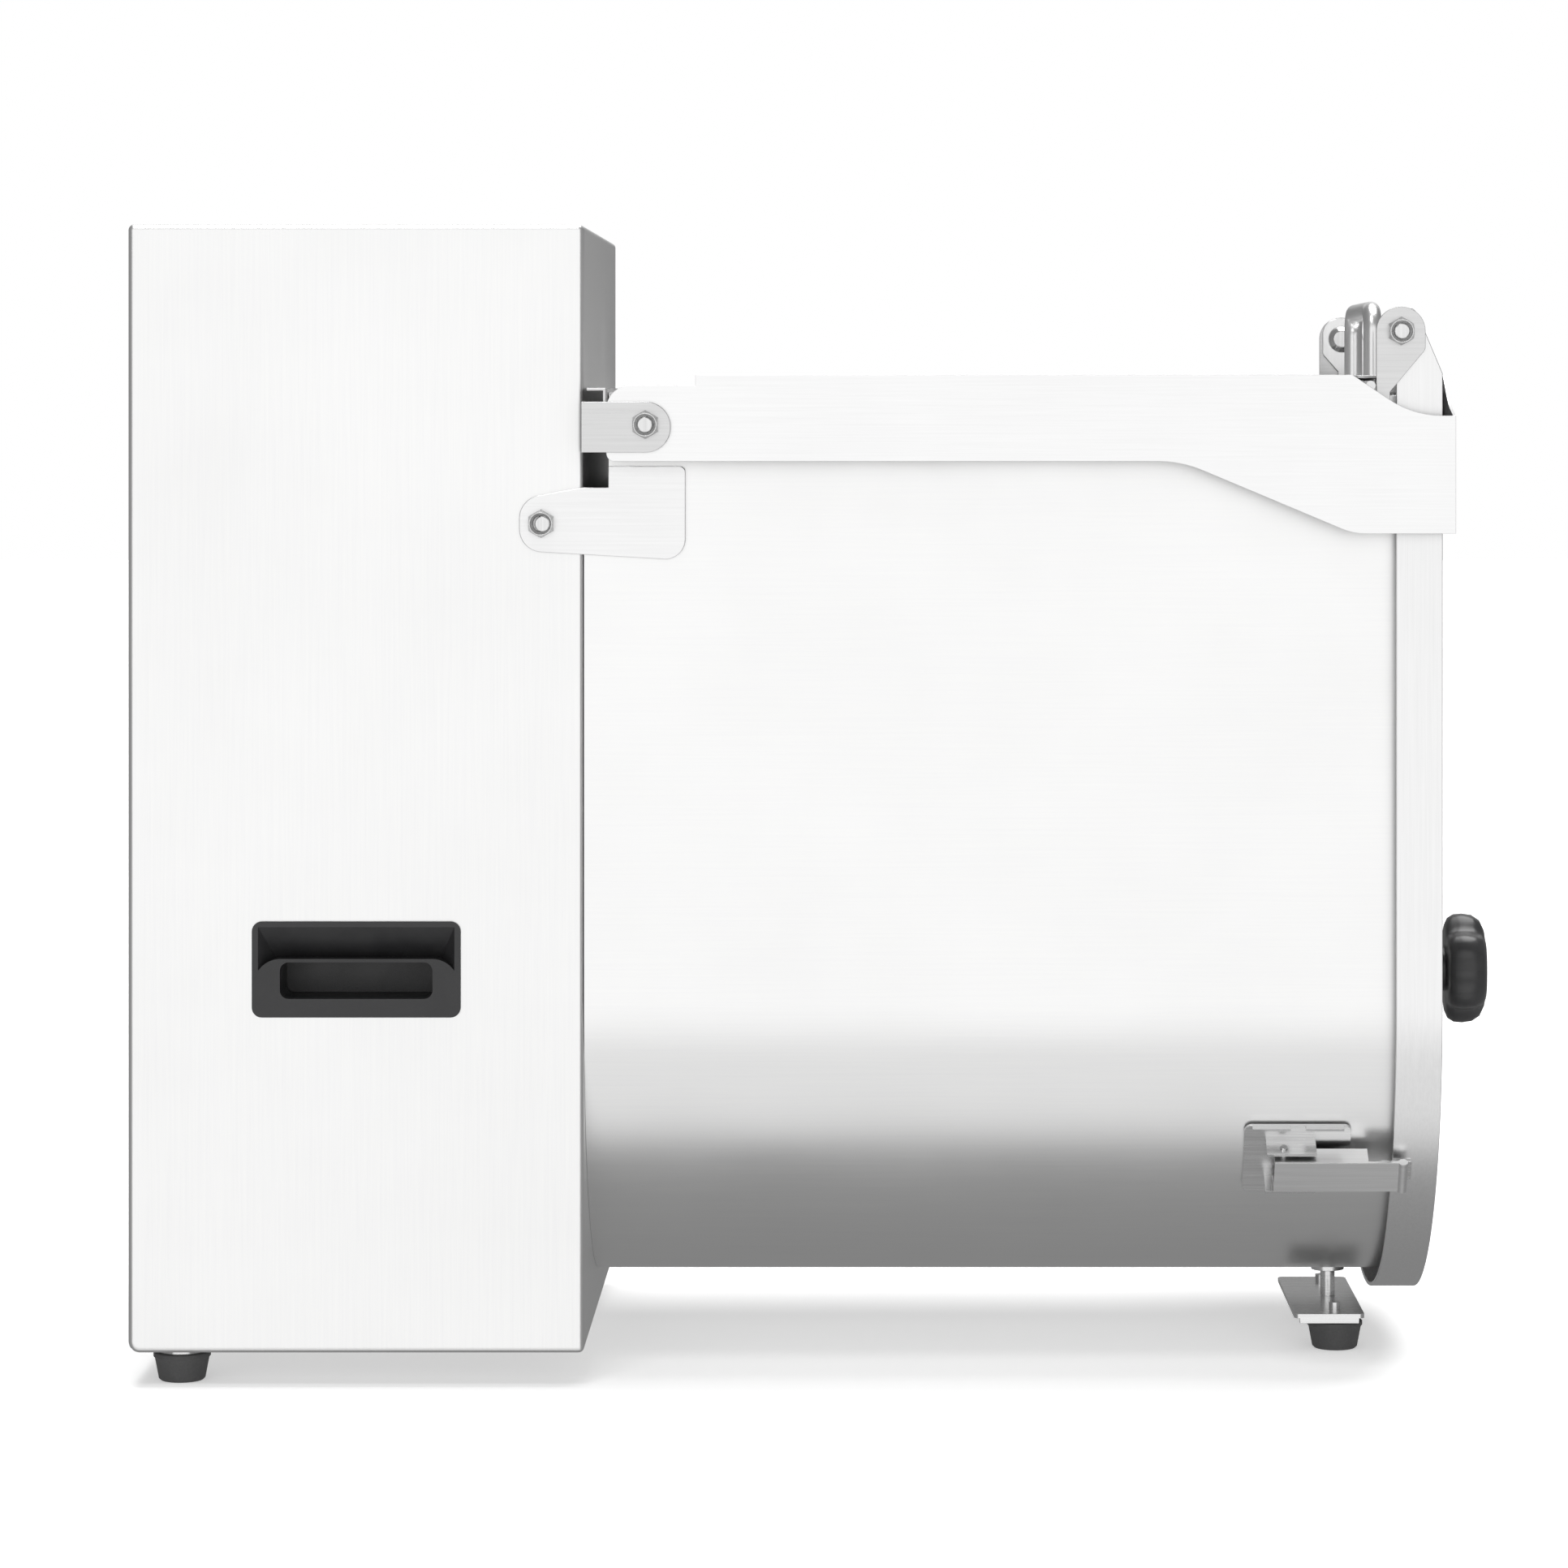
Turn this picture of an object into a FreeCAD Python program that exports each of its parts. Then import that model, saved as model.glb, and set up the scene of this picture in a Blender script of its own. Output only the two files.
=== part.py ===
import FreeCAD, Part
import math
import os

import Sketcher

# Electric meat mixer: a drive housing on the left, a horizontal U-shaped tank on the right,
# a lid hinged at the housing and an end door hinged at the top of the tank's free end.
# +X runs from the housing to the door, -Y is the side with the tank's draw latch, +Z is up.
# The origin is on the floor, under the middle of the whole machine.

os.makedirs("parts", exist_ok=True)
V = FreeCAD.Vector
doc = FreeCAD.newDocument("meat_mixer")

SIZES = {
    # whole machine
    "overall_length": 725.5,
    "foot_height": 15.0,
    "foot_radius": 15.0,
    "foot_washer": 3.0,
    "foot_screw_radius": 3.0,
    "foot_screw_end": 4.0,
    "foot_nut_flats": 10.0,
    "foot_nut_height": 5.0,
    "sheet": 1.5,
    "plate": 2.5,
    "running_gap": 0.3,
    "shaft_gap": 0.05,
    # drive housing
    "housing_length": 237.5,
    "housing_side_step": 0.0,
    "housing_height": 588.0,
    "housing_bend": 3.0,
    "housing_heel": 6.0,
    "housing_flange": 50.0,
    "housing_foot_inset": 25.0,
    "end_window_margin": 22.0,
    # carry handle recess
    "grip_length": 105.7,
    "grip_height": 47.0,
    "grip_floor": 194.5,
    "grip_from_end": 66.2,
    "grip_depth": 38.0,
    "grip_mouth_depth": 12.0,
    "grip_side_slope": 13.1,
    "grip_low_slope": 8.5,
    "grip_top_slope": 19.5,
    "grip_wall": 2.0,
    "grip_flange": 1.2,
    "grip_flange_over": 1.5,
    # tank
    "tank_radius": 163.0,
    "axis_height": 201.0,
    "tank_wall_rise": 316.0,
    "tank_notch_length": 12.9,
    "tank_notch_drop": 48.0,
    "tank_flange": 3.0,
    "tank_flange_out": 5.0,
    # side plates that carry the tank on the housing
    "side_plate": 3.0,
    "side_plate_over": 33.5,
    "side_plate_reach": 53.0,
    "side_plate_drop": 86.0,
    "side_plate_height": 49.0,
    "bolt_radius": 4.0,
    "nut_flats": 13.0,
    "nut_height": 6.5,
    "bolt_end": 0.8,
    # lid
    "lid_side_gap": 17.5,
    "lid_over_tank": 10.5,
    "lid_hinge_out": 33.2,
    "lid_hinge_drop": 25.7,
    "lid_ear_back": 20.3,
    "lid_plate_start": 25.7,
    "lid_step": 5.5,
    "lid_skirt_depth": 44.6,
    "lid_nose_depth": 82.0,
    "lid_nose_over_door": 5.55,
    "lid_nose_length": 47.0,
    "lid_slope_length": 80.0,
    "lid_notch_length": 53.5,
    "lid_tongue_width": 270.0,
    "lid_scoop_drop": 21.1,
    "lid_scoop_flat": 22.0,
    "bracket_end": 13.0,
    "bracket_side_gap": 0.6,
    # pull handle
    "pull_radius": 5.0,
    "pull_span": 115.0,
    "pull_rise": 40.5,
    "pull_from_nose": 31.0,
    "pull_bend": 12.0,
    # door
    "door_over_tank": 10.0,
    "door_depth": 24.0,
    "door_sheet": 2.0,
    "door_rise": 2.0,
    "door_hinge_in": 21.9,
    "door_hinge_rise": 22.7,
    "ear_radius": 12.7,
    "ear_plate": 2.5,
    "gasket_thickness": 2.5,
    # star knob
    "knob_radius": 30.0,
    "knob_length": 22.4,
    "knob_hub_length": 19.4,
    "knob_hub_radius": 12.5,
    "spindle_radius": 6.0,
    "spindle_into_shaft": 21.0,
    "socket_gap": 1.0,
    # draw latches
    "latch_angle": 31.0,
    "latch_from_rim": 96.85,
    "latch_base_length": 56.0,
    "latch_width": 30.0,
    "latch_sole_width": 44.0,
    "latch_sole_corner": 4.0,
    "latch_lip_reach": 4.5,
    "latch_lip_length": 24.0,
    "lever_length": 69.0,
    "lever_width": 19.0,
    "lever_sheet": 1.5,
    "lever_rise": 8.0,
    # tank feet
    "tank_foot_from_rim": 40.45,
    "tank_foot_spread": 90.0,
    "tank_foot_plate": 2.5,
    "foot_boss_height": 3.0,
    "foot_boss_radius": 9.0,
    # mixing shaft
    "shaft_radius": 15.0,
    "paddle_gap": 7.5,
    "paddle_width": 62.0,
    "paddle_plate": 6.0,
    "paddle_arm_radius": 8.0,
    "paddle_from_wall": 46.0,
    "paddle_from_door": 74.8,
    # gear unit and motor
    "gear_from_end": 122.75,
    "gear_width": 100.0,
    "worm_gap": 0.5,
    "wheel_radius": 49.0,
    "wheel_width": 30.0,
    "wheel_teeth": 30,
    "worm_radius": 13.5,
    "worm_shaft_radius": 9.0,
    "output_radius": 14.0,
    "motor_radius": 66.0,
    "motor_length": 140.0,
    "motor_wall": 5.0,
    "rotor_radius": 38.0,
    # controls
    "panel_length": 150.0,
    "panel_height": 62.0,
    "panel_from_top": 166.0,
    "button_radius": 11.0,
    "button_pitch": 44.0,
    "button_proud": 9.0,
    "button_travel": 4.0,
    "bezel_rim": 3.5,
}


class Size:
    """A length kept both as a sheet expression and as its present value."""

    def __init__(self, text, value):
        self.text = text
        self.value = value

    def __add__(self, other):
        return combined(self, "+", other, self.value + as_size(other).value)

    def __radd__(self, other):
        return as_size(other) + self

    def __sub__(self, other):
        return combined(self, "-", other, self.value - as_size(other).value)

    def __rsub__(self, other):
        return as_size(other) - self

    def __mul__(self, other):
        return combined(self, "*", other, self.value * as_size(other).value)

    def __rmul__(self, other):
        return as_size(other) * self

    def __truediv__(self, other):
        return combined(self, "/", other, self.value / as_size(other).value)

    def __neg__(self):
        return as_size(0) - self


def as_size(item):
    if isinstance(item, Size):
        return item
    return Size(f"({float(item)!r})", float(item))


def combined(first, sign, second, value):
    return Size(f"({first.text} {sign} {as_size(second).text})", value)


def size_table():
    """The driving sizes, as sheet cells whose aliases are the names above."""
    sheet = doc.addObject("Spreadsheet::Sheet", "sizes")
    table = {}
    for row, (alias, value) in enumerate(SIZES.items(), start=1):
        sheet.set(f"A{row}", alias)
        sheet.set(f"B{row}", str(value))
        sheet.setAlias(f"B{row}", alias)
        table[alias] = Size(f"sizes.{alias}", float(value))
    doc.recompute()
    return table


class Named:
    """The driving sizes as attributes."""

    def __init__(self, table):
        self.__dict__.update(table)


d = Named(size_table())

# ---- derived places --------------------------------------------------------------------------

housing_x0 = -d.overall_length / 2
housing_x1 = housing_x0 + d.housing_length
housing_y = d.tank_radius + d.housing_side_step
housing_z0 = d.foot_height + d.foot_washer
housing_z1 = housing_z0 + d.housing_height
machine_x1 = d.overall_length / 2
door_x1 = machine_x1 - d.knob_length - d.knob_hub_length
door_x0 = door_x1 - d.door_depth
door_inner = door_x1 - d.door_sheet
tank_x1 = door_inner - d.gasket_thickness
tank_wall_x = housing_x1 + d.tank_notch_length
tank_inner = d.tank_radius - d.sheet
tank_top = d.axis_height + d.tank_wall_rise
tank_notch_z = tank_top - d.tank_notch_drop
side_plate_z = tank_top - d.side_plate_drop
lid_y = d.tank_radius + d.tank_flange_out + d.lid_side_gap
lid_top = tank_top + d.lid_over_tank
lid_hinge_x = housing_x1 + d.lid_hinge_out
lid_hinge_z = lid_top - d.lid_hinge_drop
lid_skirt_z = lid_top - d.lid_skirt_depth
lid_nose_z = lid_top - d.lid_nose_depth
lid_nose_x = door_x1 + d.lid_nose_over_door
door_radius = d.tank_radius + d.door_over_tank
door_top = tank_top + d.door_rise
door_hinge_x = door_x1 - d.door_hinge_in
door_hinge_z = lid_top + d.door_hinge_rise
pull_top = lid_top + d.pull_rise
panel_z = housing_z1 - d.panel_from_top
bracket_y = lid_y + d.bracket_side_gap
latch_x0 = tank_x1 - d.latch_from_rim
tank_foot_x = tank_x1 - d.tank_foot_from_rim
gear_x = housing_x0 + d.gear_from_end
centre_distance = d.wheel_radius + d.worm_radius + d.worm_gap
paddle_reach = tank_inner - d.paddle_gap

# ---- small makers ----------------------------------------------------------------------------

AXIS_TURN = {
    "X": FreeCAD.Rotation(V(0, 1, 0), 90),
    "Y": FreeCAD.Rotation(V(1, 0, 0), -90),
    "Z": FreeCAD.Rotation(),
}
NODES = {}


def bind(obj, **sizes):
    for prop, size in sizes.items():
        obj.setExpression(prop, as_size(size).text)


def locate(obj, x=0, y=0, z=0, turn=None):
    if turn is not None:
        obj.Placement = FreeCAD.Placement(V(), turn)
    for letter, size in zip("xyz", (x, y, z)):
        obj.setExpression(f"Placement.Base.{letter}", as_size(size).text)
    return obj


def block(x0, x1, y0, y1, z0, z1):
    box = doc.addObject("Part::Box", "block")
    bind(box, Length=x1 - as_size(x0), Width=y1 - as_size(y0), Height=z1 - as_size(z0))
    return locate(box, x0, y0, z0)


def rod(axis, x, y, z, radius, length):
    """A cylinder that runs from its start point along +axis."""
    cylinder = doc.addObject("Part::Cylinder", "rod")
    bind(cylinder, Radius=radius, Height=length)
    return locate(cylinder, x, y, z, AXIS_TURN[axis])


def taper(axis, x, y, z, radius_start, radius_end, length):
    cone = doc.addObject("Part::Cone", "taper")
    bind(cone, Radius1=radius_start, Radius2=radius_end, Height=length)
    return locate(cone, x, y, z, AXIS_TURN[axis])


def fuse(*shapes):
    both = doc.addObject("Part::MultiFuse", "fuse")
    both.Shapes = list(shapes)
    both.Refine = True
    return both


def cut(base, *tools):
    result = doc.addObject("Part::Cut", "cut")
    result.Base = base
    result.Tool = tools[0] if len(tools) == 1 else fuse(*tools)
    result.Refine = True
    return result


def group(*shapes):
    """Pieces held together as they are, to share one node or to be turned as one."""
    together = doc.addObject("Part::Compound", "group")
    together.Links = list(shapes)
    return together


def mirrored(source, normal=V(0, 1, 0)):
    """The same piece on the machine's other side."""
    other = doc.addObject("Part::Mirroring", "mirrored")
    other.Source = source
    other.Normal = normal
    return other


def ring(axis, x, y, z, outer, inner, length):
    return cut(rod(axis, x, y, z, outer, length), rod(axis, x, y, z, inner, length))


def hexagon(axis, x, y, z, flats, length):
    """A hexagonal bar, as wide across its flats as asked."""
    prism = doc.addObject("Part::Prism", "hexagon")
    prism.Polygon = 6
    bind(prism, Circumradius=flats / math.sqrt(3), Height=length)
    return locate(prism, x, y, z, AXIS_TURN[axis])


def rounded(base, radius, wanted):
    """Rounds the straight edges for which wanted(middle of the edge, direction) is true."""
    doc.recompute()
    fillet = doc.addObject("Part::Fillet", "rounded")
    fillet.Base = base
    chosen = []
    for number, edge in enumerate(base.Shape.Edges, start=1):
        if edge.Degenerated or edge.Curve.TypeId != "Part::GeomLine":
            continue
        middle = edge.valueAt((edge.FirstParameter + edge.LastParameter) / 2)
        if wanted(middle, edge.Curve.Direction):
            chosen.append((number, radius.value, radius.value))
    fillet.Edges = chosen
    return fillet


def node(name, shape):
    """Names a finished sub-part; its label is its file name."""
    shape.Label = name
    NODES[name] = shape
    return shape


# ---- sketched makers -------------------------------------------------------------------------


def new_body():
    return doc.addObject("PartDesign::Body", "body")


def new_sketch(body, plane):
    sketch = body.newObject("Sketcher::SketchObject", "sketch")
    origin = next(item for item in body.Origin.OriginFeatures if item.Role == plane)
    sketch.AttachmentSupport = [(origin, "")]
    sketch.MapMode = "FlatFace"
    return sketch


def fix(sketch, kind, *args):
    """Adds a constraint; the last argument is its size, bound to the sheet."""
    size = as_size(args[-1])
    index = sketch.addConstraint(Sketcher.Constraint(kind, *args[:-1], size.value))
    sketch.setExpression(f"Constraints[{index}]", size.text)


def fix_point(sketch, element, end, u, v):
    fix(sketch, "DistanceX", -1, 1, element, end, u)
    fix(sketch, "DistanceY", -1, 1, element, end, v)


def add_circle(sketch, u, v, radius):
    u, v, radius = as_size(u), as_size(v), as_size(radius)
    circle = Part.Circle(V(u.value, v.value, 0), V(0, 0, 1), radius.value)
    element = sketch.addGeometry(circle, False)
    fix_point(sketch, element, 3, u, v)
    fix(sketch, "Radius", element, radius)


def add_outline(sketch, corners, closed=True):
    """Lines from corner to corner. A corner is (u, v) or, when rounded, (u, v, radius)."""
    corners = [tuple(as_size(item) for item in corner) for corner in corners]
    places = [V(corner[0].value, corner[1].value, 0) for corner in corners]
    count = len(corners)
    entry = list(places)
    leave = list(places)
    arcs = {}
    for i, corner in enumerate(corners):
        if len(corner) < 3:
            continue
        here = places[i]
        back = (places[i - 1] - here).normalize()
        ahead = (places[(i + 1) % count] - here).normalize()
        half = back.getAngle(ahead) / 2
        radius = corner[2].value
        entry[i] = here + back * (radius / math.tan(half))
        leave[i] = here + ahead * (radius / math.tan(half))
        centre = here + (back + ahead).normalize() * (radius / math.sin(half))
        left_turn = ahead.cross(back).z > 0
        start, end = (entry[i], leave[i]) if left_turn else (leave[i], entry[i])
        angles = [math.atan2(point.y - centre.y, point.x - centre.x) for point in (start, end)]
        circle = Part.Circle(centre, V(0, 0, 1), radius)
        arcs[i] = (Part.ArcOfCircle(circle, angles[0], angles[1]), left_turn)
    runs = range(count if closed else count - 1)
    lines = {}
    for i in runs:
        line = Part.LineSegment(leave[i], entry[(i + 1) % count])
        lines[i] = sketch.addGeometry(line, False)
    for i, corner in enumerate(corners):
        before = lines.get((i - 1) % count)
        after = lines.get(i)
        if i in arcs:
            shape, left_turn = arcs[i]
            arc = sketch.addGeometry(shape, False)
            point = sketch.addGeometry(Part.Point(places[i]), True)
            fix_point(sketch, point, 1, corner[0], corner[1])
            first, last = (1, 2) if left_turn else (2, 1)
            sketch.addConstraint(Sketcher.Constraint("PointOnObject", point, 1, before))
            sketch.addConstraint(Sketcher.Constraint("PointOnObject", point, 1, after))
            sketch.addConstraint(Sketcher.Constraint("Tangent", before, 2, arc, first))
            sketch.addConstraint(Sketcher.Constraint("Tangent", after, 1, arc, last))
            fix(sketch, "Radius", arc, corner[2])
        elif before is None:
            fix_point(sketch, after, 1, corner[0], corner[1])
        elif after is None:
            fix_point(sketch, before, 2, corner[0], corner[1])
        else:
            sketch.addConstraint(Sketcher.Constraint("Coincident", before, 2, after, 1))
            fix_point(sketch, after, 1, corner[0], corner[1])


def add_trough(sketch, outer, top, inner=None):
    """A U about the mixing axis: a solid U, or the band between two of them."""
    outer, top = as_size(outer), as_size(top)
    axis = d.axis_height
    middle = V(0, axis.value, 0)
    radii = [outer] if inner is None else [outer, as_size(inner)]
    tops = []
    for radius in radii:
        left = V(-radius.value, axis.value, 0)
        right = V(radius.value, axis.value, 0)
        rise = V(0, top.value - axis.value, 0)
        left_line = sketch.addGeometry(Part.LineSegment(left + rise, left), False)
        arc = Part.ArcOfCircle(Part.Circle(middle, V(0, 0, 1), radius.value), math.pi, 2 * math.pi)
        bottom = sketch.addGeometry(arc, False)
        right_line = sketch.addGeometry(Part.LineSegment(right, right + rise), False)
        sketch.addConstraint(Sketcher.Constraint("Tangent", left_line, 2, bottom, 1))
        sketch.addConstraint(Sketcher.Constraint("Tangent", right_line, 1, bottom, 2))
        fix_point(sketch, bottom, 3, 0, axis)
        fix(sketch, "Radius", bottom, radius)
        fix_point(sketch, left_line, 1, -radius, top)
        fix_point(sketch, right_line, 2, radius, top)
        tops.append((left_line, right_line))
    if inner is None:
        left_line, right_line = tops[0]
        lid = sketch.addGeometry(Part.LineSegment(V(outer.value, top.value, 0),
                                                  V(-outer.value, top.value, 0)), False)
        sketch.addConstraint(Sketcher.Constraint("Coincident", right_line, 2, lid, 1))
        sketch.addConstraint(Sketcher.Constraint("Coincident", lid, 2, left_line, 1))
        return
    for side, end in ((0, 1), (1, 2)):
        sign = -1 if side == 0 else 1
        edge = sketch.addGeometry(Part.LineSegment(V(sign * outer.value, top.value, 0),
                                                   V(sign * radii[1].value, top.value, 0)), False)
        sketch.addConstraint(Sketcher.Constraint("Coincident", edge, 1, tops[0][side], end))
        sketch.addConstraint(Sketcher.Constraint("Coincident", edge, 2, tops[1][side], end))


def pad(body, sketch, length, midplane=False):
    feature = body.newObject("PartDesign::Pad", "pad")
    feature.Profile = sketch
    feature.Midplane = midplane
    bind(feature, Length=length)
    body.Tip = feature
    return feature


def plate_xz(corners, y_high, thickness, circles=()):
    """A plate that stands along the machine, from y_high towards -Y."""
    body = new_body()
    sketch = new_sketch(body, "XZ_Plane")
    add_outline(sketch, corners)
    for circle in circles:
        add_circle(sketch, *circle)
    pad(body, sketch, thickness)
    return locate(body, 0, y_high, 0)


def plate_yz(corners, x_low, thickness, circles=()):
    """A plate that stands across the machine, from x_low towards +X."""
    body = new_body()
    sketch = new_sketch(body, "YZ_Plane")
    add_outline(sketch, corners)
    for circle in circles:
        add_circle(sketch, *circle)
    pad(body, sketch, thickness)
    return locate(body, x_low, 0, 0)


def plate_xy(corners, z_low, thickness, circles=()):
    """A plate that lies flat, from z_low upwards."""
    body = new_body()
    sketch = new_sketch(body, "XY_Plane")
    add_outline(sketch, corners)
    for circle in circles:
        add_circle(sketch, *circle)
    pad(body, sketch, thickness)
    return locate(body, 0, 0, z_low)


def trough(x_low, length, outer, top, inner=None):
    body = new_body()
    sketch = new_sketch(body, "YZ_Plane")
    add_trough(sketch, outer, top, inner)
    pad(body, sketch, length)
    return locate(body, x_low, 0, 0)


def turned_x(profile, x=0, y=0, z=0):
    """A piece turned about the X axis; the profile is (along, radius) from end to end."""
    body = new_body()
    sketch = new_sketch(body, "XZ_Plane")
    add_outline(sketch, profile)
    feature = body.newObject("PartDesign::Revolution", "turned")
    feature.Profile = sketch
    feature.ReferenceAxis = (sketch, ["H_Axis"])
    feature.Angle = 360
    body.Tip = feature
    return locate(body, x, y, z)


def turned_z(profile, x=0, y=0, z=0):
    """A piece turned about an upright axis; the profile is (radius, height)."""
    body = new_body()
    sketch = new_sketch(body, "XZ_Plane")
    add_outline(sketch, profile)
    feature = body.newObject("PartDesign::Revolution", "turned")
    feature.Profile = sketch
    feature.ReferenceAxis = (sketch, ["V_Axis"])
    feature.Angle = 360
    body.Tip = feature
    return locate(body, x, y, z)


def rectangle(u0, u1, v0, v1, radius=None):
    extra = () if radius is None else (radius,)
    return [(u0, v0, *extra), (u1, v0, *extra), (u1, v1, *extra), (u0, v1, *extra)]


def trapezium_screw(x, y, z, head, shank, length):
    """A countersunk screw driven along +X, its head flush at x."""
    return fuse(taper("X", x, y, z, head, shank, d.sheet), rod("X", x, y, z, shank, length))


# ---- drive housing ---------------------------------------------------------------------------

grip_x0 = housing_x0 + d.grip_from_end
grip_x1 = grip_x0 + d.grip_length
grip_z1 = d.grip_floor + d.grip_height
button_places = [gear_x + step * d.button_pitch for step in (-1, 0, 1)]
button_z = panel_z + d.panel_height / 2
gland_x = housing_x0 + 32
gland_z = housing_z0 + 45
pivot_bolt_x = housing_x1 - 21
pivot_bolt_z = side_plate_z + 19.2
past = 1.0


def make_end_screws():
    across = housing_y - d.end_window_margin / 2
    low = housing_z0 + d.end_window_margin / 2
    high = housing_z1 - d.end_window_margin / 2
    middle = (low + high) / 2
    screws = []
    for y in (-across, across):
        for z in (low, middle, high):
            screws.append(trapezium_screw(housing_x0, y, z, 4.0, 2.0, 9.0))
    return node("end_panel_screws", group(*screws))


def make_housing(end_screws, through_bolts):
    solid = block(housing_x0, housing_x1, -housing_y, housing_y, housing_z0, housing_z1)
    top = housing_z1.value - past
    bottom = housing_z0.value + past
    right = housing_x1.value - past
    left = housing_x0.value + past
    heeled = rounded(solid, d.housing_heel,
                     lambda point, way: point.z < bottom and point.x < left and abs(way.y) > 0.9)
    bent = rounded(heeled, d.housing_bend,
                   lambda point, way: point.x > right or point.z > top
                   or (abs(way.x) > 0.9 and point.x > left))
    hollow = block(housing_x0 + d.sheet, housing_x1 - d.sheet, -housing_y + d.sheet,
                   housing_y - d.sheet, housing_z0 + d.sheet, housing_z1 - d.sheet)
    flange = d.housing_flange
    underside = block(housing_x0 + flange, housing_x1 - flange, -housing_y + flange,
                      housing_y - flange, housing_z0 - past, housing_z0 + d.sheet + past)
    margin = d.end_window_margin
    window = block(housing_x0 - past, housing_x0 + d.sheet + past, -housing_y + margin,
                   housing_y - margin, housing_z0 + margin, housing_z1 - margin)
    grips = block(grip_x0, grip_x1, -housing_y - past, housing_y + past, d.grip_floor, grip_z1)
    shaft_hole = rod("X", housing_x1 - d.sheet - past, 0, d.axis_height, 26, d.sheet + 2 * past)
    gland_hole = rod("Y", gland_x, housing_y - d.sheet - past, gland_z, 8, d.sheet + 2 * past)
    holes = [rod("Y", x, housing_y - d.sheet - past, button_z, d.button_radius, d.sheet + 2 * past)
             for x in button_places]
    node("housing_wrap", cut(bent, hollow, underside, window, grips, shaft_hole, gland_hole, *holes,
                             end_screws, *through_bolts))


def make_end_panel(end_screws):
    edge = d.end_window_margin / 4
    x0 = housing_x0 + d.sheet
    panel = block(x0, x0 + d.sheet, -housing_y + edge, housing_y - edge,
                  housing_z0 + edge, housing_z1 - edge)
    slots = []
    for row in range(8):
        z = d.motor_length * 2.2 + row * 14
        for side in (-1, 1):
            y = side * 50
            slots.append(block(x0 - past, x0 + d.sheet + past, y - 34, as_size(y + 34), z, z + 5))
    node("end_panel", cut(panel, end_screws, *slots))


def make_base_pan(foot_bolts, end_screws):
    side = housing_y - d.sheet - 1
    x0 = housing_x0 + 2 * d.sheet + 4
    x1 = housing_x1 - d.sheet - 1
    low = housing_z0 + d.sheet
    outer = block(x0, x1, -side, side, low, low + 16)
    inner = block(x0 + d.sheet, x1 - d.sheet, -side + d.sheet, side - d.sheet,
                  low + d.sheet, low + 16 + past)
    node("base_pan", cut(outer, inner, foot_bolts, end_screws))


def make_grips():
    """Moulded finger cups let into both long sides: a tapered mouth and a deep pocket."""
    wall = d.grip_wall
    over = d.grip_flange_over
    flange = block(grip_x0 - over, grip_x1 + over, -housing_y - d.grip_flange, -housing_y,
                   d.grip_floor - over, grip_z1 + over)
    cup = block(grip_x0, grip_x1, -housing_y, -housing_y + d.grip_depth, d.grip_floor, grip_z1)
    pocket_x0 = grip_x0 + d.grip_side_slope
    pocket_x1 = grip_x1 - d.grip_side_slope
    pocket_z0 = d.grip_floor + d.grip_low_slope
    pocket_z1 = grip_z1 - d.grip_top_slope
    mouth = doc.addObject("Part::Wedge", "mouth")
    bind(mouth, Xmin=grip_x0 + wall, Xmax=grip_x1 - wall, Zmin=d.grip_floor + wall,
         Zmax=grip_z1 - wall, X2min=pocket_x0, X2max=pocket_x1, Z2min=pocket_z0, Z2max=pocket_z1,
         Ymin=-housing_y - d.grip_flange, Ymax=-housing_y + d.grip_mouth_depth)
    pocket = block(pocket_x0, pocket_x1, -housing_y, -housing_y + d.grip_depth - wall,
                   pocket_z0, pocket_z1)
    front = node("grip_front", cut(fuse(flange, cup), mouth, pocket))
    node("grip_rear", mirrored(front))


def make_feet():
    foot_x = housing_x0 + d.housing_foot_inset
    foot_y = housing_y - d.housing_foot_inset
    spread = d.tank_foot_spread / 2
    places = [(foot_x, -foot_y), (foot_x, foot_y), (tank_foot_x, -spread), (tank_foot_x, spread)]
    feet = []
    bolts = []
    head_z = d.foot_height / 3
    for x, y in places:
        washer = rod("Z", x, y, d.foot_height, d.foot_radius - 2, d.foot_washer)
        if x is foot_x:
            nut_z = housing_z0 + 2 * d.sheet
            nut = hexagon("Z", x, y, nut_z, d.foot_nut_flats, d.foot_nut_height)
            tip_z = nut_z + d.foot_nut_height + d.foot_screw_end
            stud = rod("Z", x, y, head_z, d.foot_screw_radius, tip_z - head_z)
            bolts.append(fuse(stud, washer, nut))
        else:
            tip_z = housing_z0 + d.tank_foot_plate + d.foot_screw_end
            stud = rod("Z", x, y, head_z, d.foot_screw_radius, tip_z - head_z)
            bolts.append(fuse(stud, washer))
        rubber = taper("Z", x, y, 0, d.foot_radius - 2.5, d.foot_radius, d.foot_height)
        feet.append(cut(rubber, stud))
    node("rubber_feet", group(*feet))
    return node("foot_bolts", group(*bolts))


# ---- bolts through the hinges ----------------------------------------------------------------

lug_inner = door_radius - d.door_sheet
ear_y = door_radius + d.running_gap + d.shaft_gap
HINGES = [
    # where the bolt lies, the face under its domed head, the face under its nut
    (pivot_bolt_x, pivot_bolt_z, housing_y - d.sheet, housing_y + d.side_plate),
    (lid_hinge_x, lid_hinge_z, lid_y - d.sheet - d.running_gap, bracket_y + d.plate),
    (door_hinge_x, door_hinge_z, lug_inner - d.running_gap, ear_y + d.ear_plate),
]


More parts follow.
